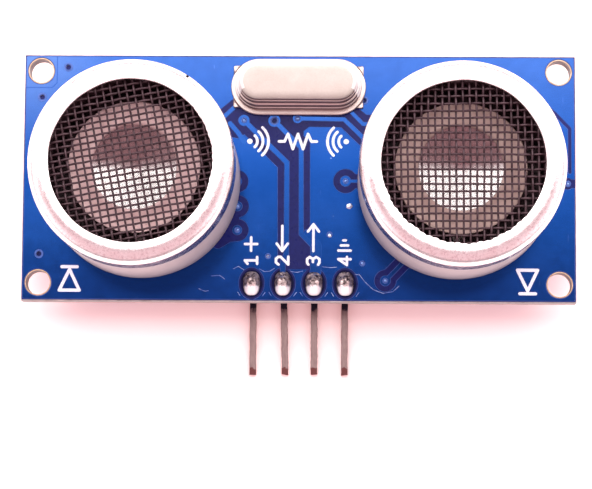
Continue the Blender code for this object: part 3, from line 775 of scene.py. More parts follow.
dark_main = [
    (-7.2, 5.0), (-6.5, 5.5), (-5.4, 6.4), (4.2, 6.4), (4.75, 5.72), (5.47, 5.13), (7.4, 5.13), (7.4, 1.6),
    (6.0, 1.75), (4.32, 3.35), (3.45, 4.2), (0.78, 4.23), (0.3, 3.83), (0.31, 3.41), (0.83, 2.88), (0.87, -4.0),
    (0.76, -4.22), (0.5, -4.3), (0.21, -4.66), (1.38, -5.87), (1.38, -7.55), (-1.1, -7.55), (-1.64, -7.0),
    (-1.7, 0.82), (-3.36, 2.48), (-4.5, 3.6), (-5.0, 3.25), (-7.2, 3.6),
]
channels = [
    dark_main,
    disc(-5.07, -0.37, 0.87), disc(-5.01, -2.42, 0.87), disc(-5.02, -4.38, 0.87),
    ribbon([(-5.45, 0.1), (-5.45, -4.75)], 1.1),
    ribbon([(-5.3, -4.6), (-6.6, -5.4)], 0.9),
    disc(3.81, -0.31, 0.94), ribbon([(3.81, -0.31), (6.2, -0.31)], 1.05),
    disc(7.08, -8.47, 0.84), ribbon([(7.08, -8.47), (8.57, -6.92), (9.6, -5.9)], 1.2),
    ribbon([(19.6, 6.55), (20.95, 5.32), (22.12, 4.1), (22.12, 0.5)], 0.16),
    disc(21.95, -0.45, 0.42, 24), ribbon([(21.95, -0.45), (23.2, -0.45)], 0.6), ribbon([(21.95, -0.45), (20.6, -1.1)], 0.5),
]
channels += [disc(x, y, 1.0, 40, 1.26) for x, y in pin_places]
copper_islands = [
    ribbon([(-4.54, 4.68), (-1.0, 1.2), (-0.99, -6.3), (-1.27, -6.9), (-1.27, -8.4)], 0.52),
    ribbon([(-2.05, 4.66), (0.16, 2.45), (0.21, -4.66), (1.38, -5.87)], 0.50),
    ribbon([(1.43, -5.6), (1.43, -7.6), (1.27, -8.3)], 1.02),
    ribbon([(-5.68, 4.42), (-5.04, 3.69), (-4.5, 2.9)], 0.50),
    ribbon([(-5.3, 5.8), (-6.2, 4.95)], 0.45),
    ribbon([(-0.15, 4.86), (3.66, 4.80), (4.78, 3.72), (5.9, 2.6)], 0.46),
    ribbon([(4.1, 5.56), (5.21, 4.42), (7.0, 4.42)], 0.42),
    ribbon([(3.81, -0.31), (6.2, -0.31)], 0.36),
    ribbon([(7.08, -8.47), (8.57, -6.92), (9.6, -5.9)], 0.42),
    ribbon([(-5.01, -2.42), (-6.4, -2.42)], 0.3),
    disc(-4.54, 4.68, 0.52), disc(-2.05, 4.66, 0.56), disc(-0.15, 4.86, 0.45), disc(3.81, -0.31, 0.5),
    disc(-5.07, -0.37, 0.45), disc(-5.01, -2.42, 0.45), disc(-5.02, -4.38, 0.45), disc(7.08, -8.47, 0.48),
]
pour_edge = rectangle(-half_l + 0.045, edge_low + 0.12, half_l - 0.045, edge_high - 0.045, 0.2)
layer("front_copper_pour", [pour_edge], FRONT - 0.02, FRONT + COPPER, BLUE, channels + holes_clear + dimples, 0.075, EDGE)
layer("front_traces", copper_islands, FRONT - 0.018, FRONT + COPPER + 0.004, mask_copper("mask_over_traces", (0.010, 0.060, 0.262), (0.014, 0.070, 0.290)), drills + dimples, 0.07, EDGE)


def ring(x, y, outer, inner, low, high, segments=40, edge=0.02):
    verts, faces = turned(
        [(inner, low), (outer, low), (outer, high - edge), (outer - edge, high), (inner + edge, high), (inner, high - edge)],
        segments, True,
    )
    return verts + np.array([BX + x, BY + y, 0]), faces


make(
    "front_hole_rims",
    *joined([ring(x, y, 1.085, 0.985, FRONT - 0.1, FRONT + 0.03, 64) for x, y in mount_places]),
    RIM, "pin_metal",
)
make(
    "front_via_rings",
    *joined(
        [ring(x, y, 0.40, 0.19, FRONT, FRONT + 0.058, 32, 0.05) for x, y in open_vias]
        + [ring(x, y, 0.28, 0.12, FRONT, FRONT + 0.058, 32, 0.05) for x, y in plugged_vias]
    ),
    EDGE, "board_mask",
)
# Painted shade: dark discs set just under the surface in each open via, for the dark inside of the narrow holes.
make(
    "via_painted_shade_discs",
    *joined([prism([(BX + u, BY + v) for u, v in disc(x, y, 0.195, 20)], FRONT - 0.3, FRONT - 0.12) for x, y in open_vias]),
    DARK, "board_mask",
)


def bead(x, y, radius, height, base, down=False, seed=0.0, rings=9, segments=28, squash=1.0):
    """A small uneven drop of solder on the board."""
    profile = [
        (radius * math.cos(math.radians(a)), height * math.sin(math.radians(a)))
        for a in np.linspace(0, 88, rings)
    ] + [(0, height)]

    def uneven(r, angle, z):
        return r * (1 + 0.07 * np.sin(2 * angle + seed) + 0.04 * np.sin(5 * angle + 2 * seed)), z

    verts, faces = turned(profile, segments, False, uneven)
    verts = verts * np.array([1, squash, -1 if down else 1]) + np.array([BX + x, BY + y, base])
    return verts, [f[::-1] for f in faces] if down else faces


f = Finish("mask_step", 0.2, 0.85, (0.020, 0.065, 0.27))
f.set("Base Color", f.mix(f.noise(1.2, 2.0), (0.016, 0.060, 0.26), (0.030, 0.085, 0.31)))
layer(
    "front_mask_step",
    [ribbon([(-22.5, 7.35), (-20.35, 7.35), (-19.95, 7.75), (-19.95, 9.9)], 0.09)],
    FRONT + COPPER - 0.01, FRONT + COPPER + 0.004, f.material, holes_clear,
)
# Painted shade: dark rings on the mask round each pin's solder joint.
f = Finish("mask_painted_shade_round_joints", 0.25, 0.0, (0.005, 0.005, 0.035))
f.set("Base Color", f.mix(f.span(f.noise(2.0, 2.0), 0.3, 0.7), (0.002, 0.002, 0.020), (0.006, 0.006, 0.052)))
f.set("Specular IOR Level", 0.06)
layer(
    "front_painted_shade_rings", [disc(x, y, 0.91, 40, 1.26) for x, y in pin_places],
    FRONT + 0.001, FRONT + MASK + 0.005, f.material, (),
)
# The solder drops are tinted blue: a painted reflection of the blue board in them.
make(
    "front_solder_beads",
    *joined([
        bead(4.13, -2.37, 0.25, 0.07, FRONT + COPPER - 0.01, seed=1.0),
        bead(2.54, -4.80, 0.16, 0.07, FRONT + COPPER - 0.01, seed=2.0),
    ]),
    plain_metal("solder_drop", (0.50, 0.55, 0.74), (0.74, 0.78, 0.92), 0.34, 2.0), "solder",
)
make(
    "front_via_plugs",
    *joined([
        bead(x + 0.01, y - 0.01, 0.14 if (x, y) != (-2.49, -6.51) else 0.09, 0.05, FRONT - 0.01, seed=k * 1.1)
        for k, (x, y) in enumerate(plugged_vias)
    ]),
    PLUG, "board_mask",
)


# Printed marks: a pulse that leaves as waves and comes back, a triangle that
# points out or in at each transducer, and the pins' numbers and directions.
def stroke(points, width):
    return [ribbon([a, b], width, 6) for a, b in zip(points, points[1:])]


def moved_marks(strokes, x, y, turn=0.0, scale=1.0):
    c, s = math.cos(math.radians(turn)) * scale, math.sin(math.radians(turn)) * scale
    return [[(x + c * u - s * v, y + s * u + c * v) for u, v in line] for line in strokes]


def printed(name, groups, high=FRONT + COPPER + 0.022, low=FRONT - 0.01):
    outlines = []
    for width, lines in groups:
        for line in lines:
            outlines += stroke(line, width)
    return layer(name, outlines, low, high, PRINT, ())


waves = [arc((0, 0), r, -48, 48, 8) for r in (0.62, 1.08, 1.54)]
pulse = [(-1.55, 0.0), (-1.1, 0.0), (-0.82, 0.62), (-0.42, -0.62), (0.0, 0.62), (0.42, -0.62), (0.82, 0.62), (1.1, 0.0), (1.55, 0.0)]
MARK_Y = 2.95
middle = moved_marks(waves, -4.05, MARK_Y) + moved_marks(waves, 3.85, MARK_Y, 180) + moved_marks([pulse], -0.1, MARK_Y)
middle += [[(-4.06, MARK_Y), (-4.04, MARK_Y)], [(3.84, MARK_Y), (3.86, MARK_Y)]]
printed("print_wave_mark", [(0.23, middle[:7]), (0.44, middle[7:])])

triangle = [(-0.82, -0.85), (0.82, -0.85), (0.0, 0.85), (-0.82, -0.85)]
printed("print_send_mark", [(0.26, moved_marks([triangle], -18.67, -8.52) + [[(-19.3, -7.45), (-18.04, -7.45)]])])
printed("print_receive_mark", [(0.26, moved_marks([triangle], 18.64, -8.40, 180) + [[(18.0, -9.47), (19.28, -9.47)]])])

numerals = {
    1: [[(0.08, 0.78), (0.36, 1.0), (0.36, 0.0)], [(0.08, 0.0), (0.64, 0.0)]],
    2: [[(0.04, 0.80), (0.2, 1.0), (0.5, 1.0), (0.66, 0.82), (0.66, 0.62), (0.04, 0.0), (0.68, 0.0)]],
    3: [[(0.04, 0.9), (0.2, 1.0), (0.5, 1.0), (0.66, 0.8), (0.5, 0.53), (0.26, 0.53)], [(0.5, 0.53), (0.66, 0.26), (0.5, 0.0), (0.2, 0.0), (0.04, 0.1)]],
    4: [[(0.5, 0.0), (0.5, 1.0), (0.02, 0.3), (0.68, 0.3)]],
}
signs = {
    1: [[(1.15, 0.5), (2.25, 0.5)], [(1.7, 0.0), (1.7, 1.0)]],
    2: [[(1.15, 0.5), (3.2, 0.5)], [(1.75, 0.05), (1.15, 0.5), (1.75, 0.95)]],
    3: [[(1.15, 0.5), (3.35, 0.5)], [(2.75, 0.05), (3.35, 0.5), (2.75, 0.95)]],
    4: [[(1.2, 0.0), (1.2, 1.0)], [(1.62, 0.2), (1.62, 0.8)], [(2.04, 0.4), (2.04, 0.6)]],
}
for number, (x, y) in enumerate(pin_places, 1):
    printed(
        f"print_pin_number_{number}",
        [(0.21, moved_marks(numerals[number] + signs[number], x + 0.5 - 0.06, -7.22, 90))],
    )
ticks = []
for x, y in pin_places:
    ticks += [[(x - 1.12, y - 0.72), (x - 0.93, y - 1.0)], [(x + 1.12, y - 0.72), (x + 0.9, y - 1.02)]]


# ------------------------------------------------------------- solder joints
def solder_cone(x, y, number):
    """A solder joint: straight slanting sides on a squarish oval foot, a short
    neck up the square pin, and a lumpy cap over the pin's end."""
    segments = 84
    angles = 2 * math.pi * np.arange(segments) / segments
    seed = number * 1.3
    c, s = np.cos(angles), np.sin(angles)
    foot = (np.abs(c) ** 2.7 + np.abs(s) ** 2.7) ** (-1 / 2.7)
    sides = [(0.0, t, 0.86 * t ** 0.96) for t in np.linspace(0, 1, 22)]
    neck = [(1.0, 1.0, z) for z in (0.93, 1.02, 1.09)]
    cap = [(1.0 + math.sin(a), 1.0, 1.09 + 0.14 * math.sin(a)) for a in np.linspace(0.1, 1.4, 9)]
    verts, rows = [], []
    for k, (over, t, z) in enumerate(sides + neck + cap):
        if over <= 1.0:
            rx, ry = 0.76 + (0.37 - 0.76) * t, 1.08 + (0.37 - 1.08) * t
        else:
            rx = ry = 0.37 * math.sqrt(max(0.0, 1 - (over - 1.0) ** 2)) + 0.02
        plan = foot * (1 - 0.10 * (t < 1)) + 0.0 * t
        dents = 0.05 * np.sin(3 * angles + seed) * np.sin(5 * t + seed + z) + 0.035 * np.sin(7 * angles - seed + 4 * z)
        dents = dents * min(1.0, 4 * t) * np.clip(0.30 + s, 0.10, 1.2)
        crease = 0.12 * np.exp(-(((s - 0.55 + 0.2 * math.sin(seed)) / 0.13) ** 2)) * min(1.0, max(0.0, 3 * (t - 0.25)))
        scale = plan * (1 - crease + dents * 0.7)
        lean = 0.04 * math.sin(seed * 2) * z
        verts.append(np.stack([rx * scale * c + lean, ry * scale * s, z + dents * 0.7 * (s > -0.4)], 1))
        rows.append([k * segments + n for n in range(segments)])
    faces = []
    for low_row, high_row in zip(rows, rows[1:]):
        for n in range(segments):
            m = (n + 1) % segments
            faces.append([low_row[n], low_row[m], high_row[m], high_row[n]])
    faces.append(rows[-1])
    faces.append(rows[0][::-1])
    return np.concatenate(verts) + np.array([x, y, FRONT + 0.01]), faces


for number, place in enumerate(pin_joints, 1):
    verts, faces = solder_cone(place[0], place[1], number)
    make(f"solder_fillet_{number}", verts, faces, SOLDER, "solder", replaces=(f"solder_joint_{number}",), angle=60)

flux = [
    [(-5.3, -7.55), (-4.9, -7.35), (-4.45, -7.62)],
    [(-3.2, -7.55), (-2.75, -7.78), (-2.3, -7.72), (-1.95, -7.5)],
    [(-0.62, -7.75), (-0.1, -7.82), (0.35, -7.72)],
    [(1.95, -7.35), (2.5, -7.42), (3.1, -7.38)],
    [(4.6, -7.95), (4.95, -8.0)],
    [(4.95, -7.95), (5.4, -8.55), (6.1, -9.2), (6.9, -9.5), (7.7, -9.35), (8.2, -8.9)],
    [(-7.1, -8.15), (-6.4, -8.1), (-6.0, -8.4)],
    [(-8.1, -9.2), (-7.6, -9.4), (-7.3, -9.35)],
]
f = Finish("flux_residue", 0.2, 0.0, (0.16, 0.24, 0.52))
f.set("Base Color", f.mix(f.span(f.noise(2.0, 2.0), 0.35, 0.65), (0.045, 0.09, 0.36), (0.30, 0.36, 0.62)))
f.set("Coat Weight", 0.6)
f.bump(f.noise(4.0, 2.0), 0.4, 0.02)
outlines = []
for line in flux + ticks:
    outlines += stroke(line, 0.05)
layer("flux_residue_lines", outlines, FRONT + 0.01, FRONT + COPPER + 0.012, f.material, ())

# -------------------------------------------------------------- transducers
CAN_R, CAN_H, MOUTH_R, LIP = 8.0, 12.0, 6.33, 0.5


def housing(label, phase, bumps_from, bumps_to, bumps):
    """The turned can, with a rolled foot, a rounded shoulder, a slightly domed
    rim and an inner lip pressed over the wire."""
    profile = [(CAN_R - 0.5, 0.0), (CAN_R - 0.1, 0.0)]
    profile += arc((CAN_R - 0.1, 0.1), 0.1, -60, 0, 3)
    profile += [(CAN_R - 0.015, 0.5), (CAN_R - 0.02, 2.0), (CAN_R - 0.01, 5.0), (CAN_R - 0.015, 8.0), (CAN_R - 0.01, 10.2)]
    profile += [(CAN_R, 10.6), (CAN_R + 0.0, 10.95)]
    profile += [
        (
            CAN_R - 1.12 + 1.12 * math.cos(math.radians(a)),
            CAN_H - 0.88 + 0.88 * math.sin(math.radians(a)),
        )
        for a in range(0, 90, 4)
    ]
    profile += [(6.87, CAN_H), (6.7, CAN_H), (6.55, CAN_H - 0.002)]
    profile += arc((MOUTH_R + 0.07, CAN_H - 0.075), 0.07, 80, 180, 6)
    profile += [(MOUTH_R, CAN_H - LIP + 0.04), (MOUTH_R + 0.05, CAN_H - LIP), (CAN_R - 0.5, CAN_H - LIP), (CAN_R - 0.5, 5.0)]
    bump_gap = 0.56 / MOUTH_R

    def worn(r, angle, z):
        wave = 0.008 * np.sin(2 * angle + phase) + 0.006 * np.sin(3 * angle + 2 * phase) + 0.003 * np.sin(7 * angle)
        r = r + wave * (r > 7.6)
        inner = (np.abs(r - MOUTH_R - 0.08) < 0.12) & (z > 8.5)
        edge = 0.014 * np.sin(5 * angle + phase) + 0.010 * np.sin(11 * angle + 2 * phase)
        into = (angle - bumps_from) % (2 * math.pi)
        window = np.clip(into / 0.3, 0, 1) * np.clip((bumps_to - bumps_from - into) / 0.3, 0, 1)
        tooth = np.abs(np.sin(math.pi * angle / bump_gap)) + 0.5 * np.sin(angle * 23 + phase)
        return r + inner * (edge - bumps * window * tooth), z

    verts, faces = turned(profile, 480, True, worn)
    verts = verts + np.array(cans[label])
    return make(label + "_turned_can", verts, faces, CAN, "can_metal", replaces=(label + "_housing",), angle=60)


def weave(label, turn, pitch_u, pitch_v, wire=0.085):
    """Plain-woven wire cut to a disc: rows along u, a pitch_v apart, pass over
    and under the wires across them, which are a pitch_u apart."""
    reach = 7.3
    parts = []
    c, s = math.cos(math.radians(turn)), math.sin(math.radians(turn))
    rows, columns = int(reach / pitch_v), int(reach / pitch_u)

    def drift(u, v, seed):
        return 0.022 * np.sin(0.55 * u + seed) * np.sin(0.43 * v + 1.3 * seed) + 0.012 * np.sin(1.7 * v + 0.9 * u + seed)

    def add(u, v, rise):
        du, dv = drift(u, v, 0.7), drift(v, u, 2.1)
        x, y = c * (u + du) - s * (v + dv), s * (u + du) + c * (v + dv)
        path = np.stack([x, y, 11.29 + rise], 1) + np.array(cans[label])
        parts.append(tube(path, wire, 8))

    for j in range(-rows, rows + 1):
        v = j * pitch_v + 0.12 * pitch_v
        end = math.sqrt(max(reach**2 - v**2, 0.05))
        u = np.linspace(-end, end, max(8, int(2 * end / pitch_u * 6)))
        wobble = 0.012 * math.sin(j * 2.3)
        add(u, np.full_like(u, v + wobble), 0.088 * np.cos(math.pi * (u / pitch_u + j)))
    for i in range(-columns, columns + 1):
        u = i * pitch_u
        end = math.sqrt(max(reach**2 - u**2, 0.05))
        v = np.linspace(-end, end, max(8, int(2 * end / pitch_v * 6)))
        wobble = 0.012 * math.sin(i * 1.9 + 1)
        row = (v - 0.12 * pitch_v) / pitch_v
        add(np.full_like(v, u + wobble), v, -0.088 * np.cos(math.pi * (row + i)))
    verts, faces = joined(parts)
    return make(label + "_woven_wire", verts, faces, WIRE, "mesh_wire", replaces=(label + "_mesh",), angle=80)


def cone(label, phase):
    """A spun funnel with a rolled flat brim, standing on a short stem."""
    low, high = corners(label + "_cone")
    top, brim_r = high[2] - cans[label][2], (high[0] - low[0]) / 2
    floor_z, mouth_z = top - 1.28, top - 0.10
    slope = [(0.0, floor_z), (0.12, floor_z + 0.004), (0.22, floor_z + 0.03)]
    for k in range(1, 15):
        t = k / 14
        slope.append((0.22 + (3.32 - 0.22) * t, floor_z + 0.03 + (mouth_z - floor_z - 0.03) * t))
    brim = [(3.36, top - 0.03), (3.44, top), (3.6, top + 0.004), (3.8, top - 0.02), (4.3, top - 0.035), (4.8, top - 0.02)]
    brim += [(brim_r - 0.12, top), (brim_r - 0.04, top), (brim_r, top - 0.04), (brim_r, top - 0.12)]
    under = [(brim_r - 0.1, top - 0.15), (4.2, top - 0.16), (3.5, top - 0.16), (3.2, top - 0.30), (1.15, floor_z - 0.12), (1.0, floor_z - 0.3), (1.0, low[2] - cans[label][2] + 0.02), (0.0, low[2] - cans[label][2] + 0.01)]
    profile = slope + brim + under

    def spun(r, angle, z):
        return r * (1 + 0.002 * np.sin(3 * angle + phase)), z + 0.004 * np.sin(2 * angle + phase) * (r > 3.4)

    segments = 160
    verts, faces = turned(profile, segments, False, spun)
    verts = verts + np.array(cans[label])
    pick = [0 if k < segments * (len(slope) - 1) else 1 for k in range(len(faces))]
    tones = ((0.66, 0.44, 0.44), (0.80, 0.58, 0.58)) if label == "tx" else ((0.43, 0.295, 0.268), (0.56, 0.405, 0.37))
    metals = [cone_metal(label, cans[label][1]), brim_metal(label, *tones)]
    return make(label + "_spun_cone", verts, [f[::-1] for f in faces], metals, "cone_metal", body=label + "_vibrator", replaces=(label + "_cone",), angle=25, pick=pick)


housing("tx", 0.4, 5.7, 7.2, 0.035)
housing("rx", 1.9, 3.3, 5.7, 0.075)


def pit(label, angle, local_z, size):
    """A dark speck pressed into the can's shoulder."""
    verts, faces = bead(0, 0, size, size * 0.5, 0, seed=angle, rings=7, segments=20)
    verts = verts - np.array([BX, BY, 0])
    c, s = math.cos(math.radians(angle)), math.sin(math.radians(angle))
    outward = np.array([c, s, 0.0])
    frame_axes = np.array([[-s, c, 0.0], [0.0, 0.0, 1.0], outward])
    return verts @ frame_axes + np.array(cans[label]) + outward * (CAN_R - 0.07) + np.array([0, 0, local_z]), faces


make(
    "can_specks",
    *joined([pit("tx", 8, 11.35, 0.15), pit("tx", -9, 11.2, 0.16), pit("tx", 57, 11.5, 0.12), pit("rx", 200, 10.8, 0.1)]),
    CHIP, "can_metal",
)
weave("tx", 10.5, 0.60, 0.49)
weave("rx", 0.5, 0.53, 0.57)
cone("tx", 0.3)
cone("rx", 1.1)

# ------------------------------------------------------------------- crystal


def slot_outline(length, width, steps=24, square=0.0):
    radius, half = width / 2, (length - width) / 2
    points = []
    for side, start in ((1, -90), (-1, 90)):
        points += [(side * half + x, y) for x, y in arc((0, 0), radius, start, start + 180, steps)]
    return points


def crystal():
    """The crystal's can: a flat top, two rounded steps down its side, and a
    welded flange."""
    steps = [
        (1.93, 0.30), (1.93, 0.40), (1.91, 0.46), (1.90, 0.95), (1.885, 1.03), (1.84, 1.07), (1.80, 1.08),
        (1.785, 1.13), (1.78, 1.85), (1.765, 1.93), (1.70, 1.98), (1.64, 1.99), (1.625, 2.04), (1.62, 2.72),
        (1.605, 2.80), (1.56, 2.84), (1.53, 2.85), (1.515, 2.90), (1.51, 3.20), (1.495, 3.29), (1.44, 3.36),
        (1.34, 3.42), (1.20, 3.465), (1.02, 3.49), (0.8, 3.5),
    ]
    verts, faces, pick = [], [], []
    outlines = [slot_outline(2 * half + 6.5, 2 * half) for half, z in steps]
    n = len(outlines[0])
    for k, (outline, (half, z)) in enumerate(zip(outlines, steps)):
        verts.append(np.column_stack([np.array(outline), np.full(n, z)]))
        if k:
            for s in range(n):
                t = (s + 1) % n
                faces.append([(k - 1) * n + s, (k - 1) * n + t, k * n + t, k * n + s])
                run, rise = steps[k - 1][0] - half, z - steps[k - 1][1]
                along = np.subtract(outline[t], outline[s])
                # Steep bands on the side towards the pins take painted shade. The ends, the far side and other steep
                # bands are painted nearly white as light.
                shaded_band = rise > 2 * run and z > 0.5 and along[0] > 0.5 * math.hypot(*along)
                steep = rise > 2 * run and z > 0.5
                away = along[0] <= 0.5 * math.hypot(*along) and 0.5 < z < 3.47
                pick.append(2 if shaded_band else 3 if steep or away else 1 if k >= len(steps) - 5 else 0)
    faces.append([(len(steps) - 1) * n + s for s in range(n)])
    faces.append(list(range(n))[::-1])
    pick += [1, 0]
    verts = np.concatenate(verts) + np.array(XTAL)
    make("crystal_drawn_can", verts, faces, [CRYSTAL, CRYSTAL_TOP, PAINTED_SHADE_BAND, PAINTED_LIT_SIDE], "crystal_metal", replaces=("crystal_can",), angle=40, pick=pick)
    flange = slot_outline(11.05, 4.65)
    tabs = rectangle(-5.33, -1.74, 5.33, 1.74, 0.12)
    mesh = combined(prism(flange, 0.0, 0.40), [prism(tabs, 0.0, 0.34)])
    moved = np.empty(len(mesh.vertices) * 3, np.float32)
    mesh.vertices.foreach_get("co", moved)
    moved = moved.reshape(-1, 3) + np.array(XTAL, np.float32) * MM
    mesh.vertices.foreach_set("co", moved.ravel())
    mesh.materials.clear()
    mesh.materials.append(CRYSTAL)
    piece = finish_piece("crystal_flange", mesh, angle=30)
    rounded = piece.modifiers.new("edge", "BEVEL")
    rounded.width = 0.09 * MM
    rounded.segments = 3
    rounded.limit_method = "ANGLE"
    rounded.angle_limit = math.radians(50)
    rounded.use_clamp_overlap = False


crystal()

# ------------------------------------------------------------ the board's back


def upside(verts, x, y, turn, base):
    """Points modelled upright, put upside down on the board's back."""
    v = np.asarray(verts, float) * np.array([1, -1, -1])
    c, s = math.cos(math.radians(turn)), math.sin(math.radians(turn))
    return np.stack([c * v[:, 0] - s * v[:, 1] + BX + x, s * v[:, 0] + c * v[:, 1] + BY + y, v[:, 2] + base], 1)


def loft(sections, caps=True):
    n = len(sections[0])
    verts = np.concatenate([np.asarray(s, float) for s in sections])
    faces = []
    for k in range(len(sections) - 1):
        for s in range(n):
            t = (s + 1) % n
            faces.append([k * n + s, k * n + t, (k + 1) * n + t, (k + 1) * n + s])
    if caps:
        faces.append(list(range(n))[::-1])
        faces.append([(len(sections) - 1) * n + s for s in range(n)])
    return verts, faces


def block(length, width, low, high, draft, edge, middle):
    """A moulded block with drafted sides and rounded edges."""
    sections = []
    for z, shrink in ((low, draft + edge), (low + edge, draft), (middle, 0.0), (high - edge, draft), (high, draft + edge)):
        a, b = length / 2 - shrink, width / 2 - shrink
        sections.append([(x, y, z) for x, y in rectangle(-a, -b, a, b, 0.08)])
    return loft(sections)


SEAT = BACK - 0.05
pads, metal_parts = [], []


def gull(along, side, width, body_half, span_half, middle):
    """One bent lead with rounded bends, as a swept flat strip."""
    line = [(body_half - 0.2, middle), (span_half - 0.72, middle)]
    line += [(span_half - 0.60, middle - 0.06), (span_half - 0.54, middle - 0.2)]
    line += [(span_half - 0.50, 0.26), (span_half - 0.44, 0.14), (span_half - 0.33, 0.1), (span_half, 0.1)]
    sections = []
    for k, (y, z) in enumerate(line):
        y0, z0 = line[max(k - 1, 0)]
        y1, z1 = line[min(k + 1, len(line) - 1)]
        d = math.hypot(y1 - y0, z1 - z0)
        ny, nz = -(z1 - z0) / d * 0.1, (y1 - y0) / d * 0.1
        w = width / 2
        sections.append([
            (along - w, side * (y - ny), z - nz), (along + w, side * (y - ny), z - nz),
            (along + w, side * (y + ny), z + nz), (along - w, side * (y + ny), z + nz),
        ])
    verts, faces = loft(sections)
    toe = span_half
    w = width / 2 + 0.03
    fillet = loft([
        [(along - w, side * (toe - 0.35), 0.0), (along + w, side * (toe - 0.35), 0.0), (along + w * 0.9, side * (toe - 0.35), 0.21), (along - w * 0.9, side * (toe - 0.35), 0.21)],
        [(along - w, side * (toe + 0.02), 0.0), (along + w, side * (toe + 0.02), 0.0), (along + w * 0.9, side * (toe + 0.02), 0.19), (along - w * 0.9, side * (toe + 0.02), 0.19)],
        [(along - w, side * (toe + 0.22), 0.0), (along + w, side * (toe + 0.22), 0.0), (along + w * 0.8, side * (toe + 0.18), 0.04), (along - w * 0.8, side * (toe + 0.18), 0.04)],
    ])
    return [(verts, faces), fillet]


def chip(node, leads, length):
    low, high = corners(node)
    x, y = (low[0] + high[0]) / 2 - BX, (low[1] + high[1]) / 2 - BY
    verts, faces = block(length, 3.9, 0.12, 1.55, 0.11, 0.05, 0.85)
    body = combined((verts, faces), (), [prism(disc(-length / 2 + 0.75, 1.15, 0.34, 32), 1.50, 1.8)])
    spots = np.empty(len(body.vertices) * 3, np.float32)
    body.vertices.foreach_get("co", spots)
    spots = upside(spots.reshape(-1, 3) / MM, x, y, 0, SEAT) * MM
    body.vertices.foreach_set("co", spots.astype(np.float32).ravel())
    body.materials.clear()
    body.materials.append(CHIP)
    finish_piece(node + "_body", body, replaces=(node,), angle=30)
    parts = []
    per_side = leads // 2
    for side in (-1, 1):
        for k in range(per_side):
            along = (k - (per_side - 1) / 2) * 1.27
            for part, polygons in gull(along, side, 0.4, 1.95, 3.0, 0.85):
                parts.append((upside(part, x, y, 0, SEAT), polygons))
            cy = y - side * 2.72
            pads.append(rectangle(x + along - 0.3, cy - 0.8, x + along + 0.3, cy + 0.8, 0.08))
    verts, faces = joined(parts)
    make(node + "_leads", verts, faces, TINNED, "tinned_wire", angle=40)


chip("driver_chip", 16, 9.9)
chip("controller_chip", 14, 8.65)
chip("amplifier_chip", 14, 8.65)

low, high = corners("transistor")
tx_, ty_ = (low[0] + high[0]) / 2 - BX, (low[1] + high[1]) / 2 - BY
verts, faces = block(2.9, 1.3, 0.06, 1.0, 0.07, 0.04, 0.5)
make("transistor_body", upside(verts, tx_, ty_, 0, SEAT), faces, CHIP, "chip_black", replaces=("transistor",), angle=30)
parts = []
for along, side in ((-0.95, -1), (0.95, -1), (0.0, 1)):
    for part, polygons in gull(along, side, 0.42, 0.65, 1.5, 0.5):
        parts.append((upside(part, tx_, ty_, 0, SEAT), polygons))
    cy = ty_ - side * 1.25
    pads.append(rectangle(tx_ + along - 0.33, cy - 0.55, tx_ + along + 0.33, cy + 0.55, 0.08))
make("transistor_leads", *joined(parts), TINNED, "tinned_wire", angle=40)


def passive(node, height, glaze, slot):
    """A chip resistor or capacitor: a ceramic block between two solder-wetted
    metal ends."""
    low, high = corners(node)
    x, y = (low[0] + high[0]) / 2 - BX, (low[1] + high[1]) / 2 - BY
    turn = 90 if high[1] - low[1] > high[0] - low[0] else 0
    parts, pick = [], []

    def section(px, half, z0, z1, corner):
        return [(px, py, pz) for py, pz in rectangle(-half, z0, half, z1, corner)]

    body = loft([section(px, 0.385, 0.03, height, 0.03) for px in (-0.55, 0.55)])
    parts.append(body)
    pick += [0] * len(body[1])
    for side in (-1, 1):
        spots = [(0.46, 0.37, 0.05, height - 0.0, 0.04), (0.49, 0.415, 0.0, height + 0.03, 0.07), (0.76, 0.415, 0.0, height + 0.03, 0.07), (0.80, 0.39, 0.02, height - 0.0, 0.05)]
        cap = loft([section(side * px, half, z0, z1, corner) for px, half, z0, z1, corner in spots])
        parts.append(cap if side > 0 else (cap[0], [f[::-1] for f in cap[1]]))
        pick += [1] * len(cap[1])
        fillet = loft([
            [(side * 0.74, -0.43, 0), (side * 0.74, 0.43, 0), (side * 0.74, 0.40, height * 0.8), (side * 0.74, -0.40, height * 0.8)],
            [(side * 0.88, -0.44, 0), (side * 0.88, 0.44, 0), (side * 0.84, 0.38, height * 0.35), (side * 0.84, -0.38, height * 0.35)],
            [(side * 1.12, -0.42, 0), (side * 1.12, 0.42, 0), (side * 1.08, 0.36, 0.03), (side * 1.08, -0.36, 0.03)],
        ])
        parts.append(fillet if side > 0 else (fillet[0], [f[::-1] for f in fillet[1]]))
        pick += [2] * len(fillet[1])
        c, s = math.cos(math.radians(turn)), math.sin(math.radians(turn))
        px, py = side * 0.86 * c, side * 0.86 * s
        a, b = (0.38, 0.5) if turn == 0 else (0.5, 0.38)
        pads.append(rectangle(x + px - a, y + py - b, x + px + a, y + py + b, 0.08))
    verts, faces = joined(parts)
    make(node + "_block", upside(verts, x, y, turn, SEAT), faces, [glaze, TINNED, SOLDER], slot, replaces=(node,), angle=45, pick=pick)
    return x, y, turn


outlines_round = []
for k in range(1, 9):
    outlines_round.append(passive(f"resistor_{k}", 0.42, RESISTOR, "resistor_black"))
    outlines_round.append(passive(f"capacitor_{k}", 0.75, CAPACITOR, "capacitor_tan"))

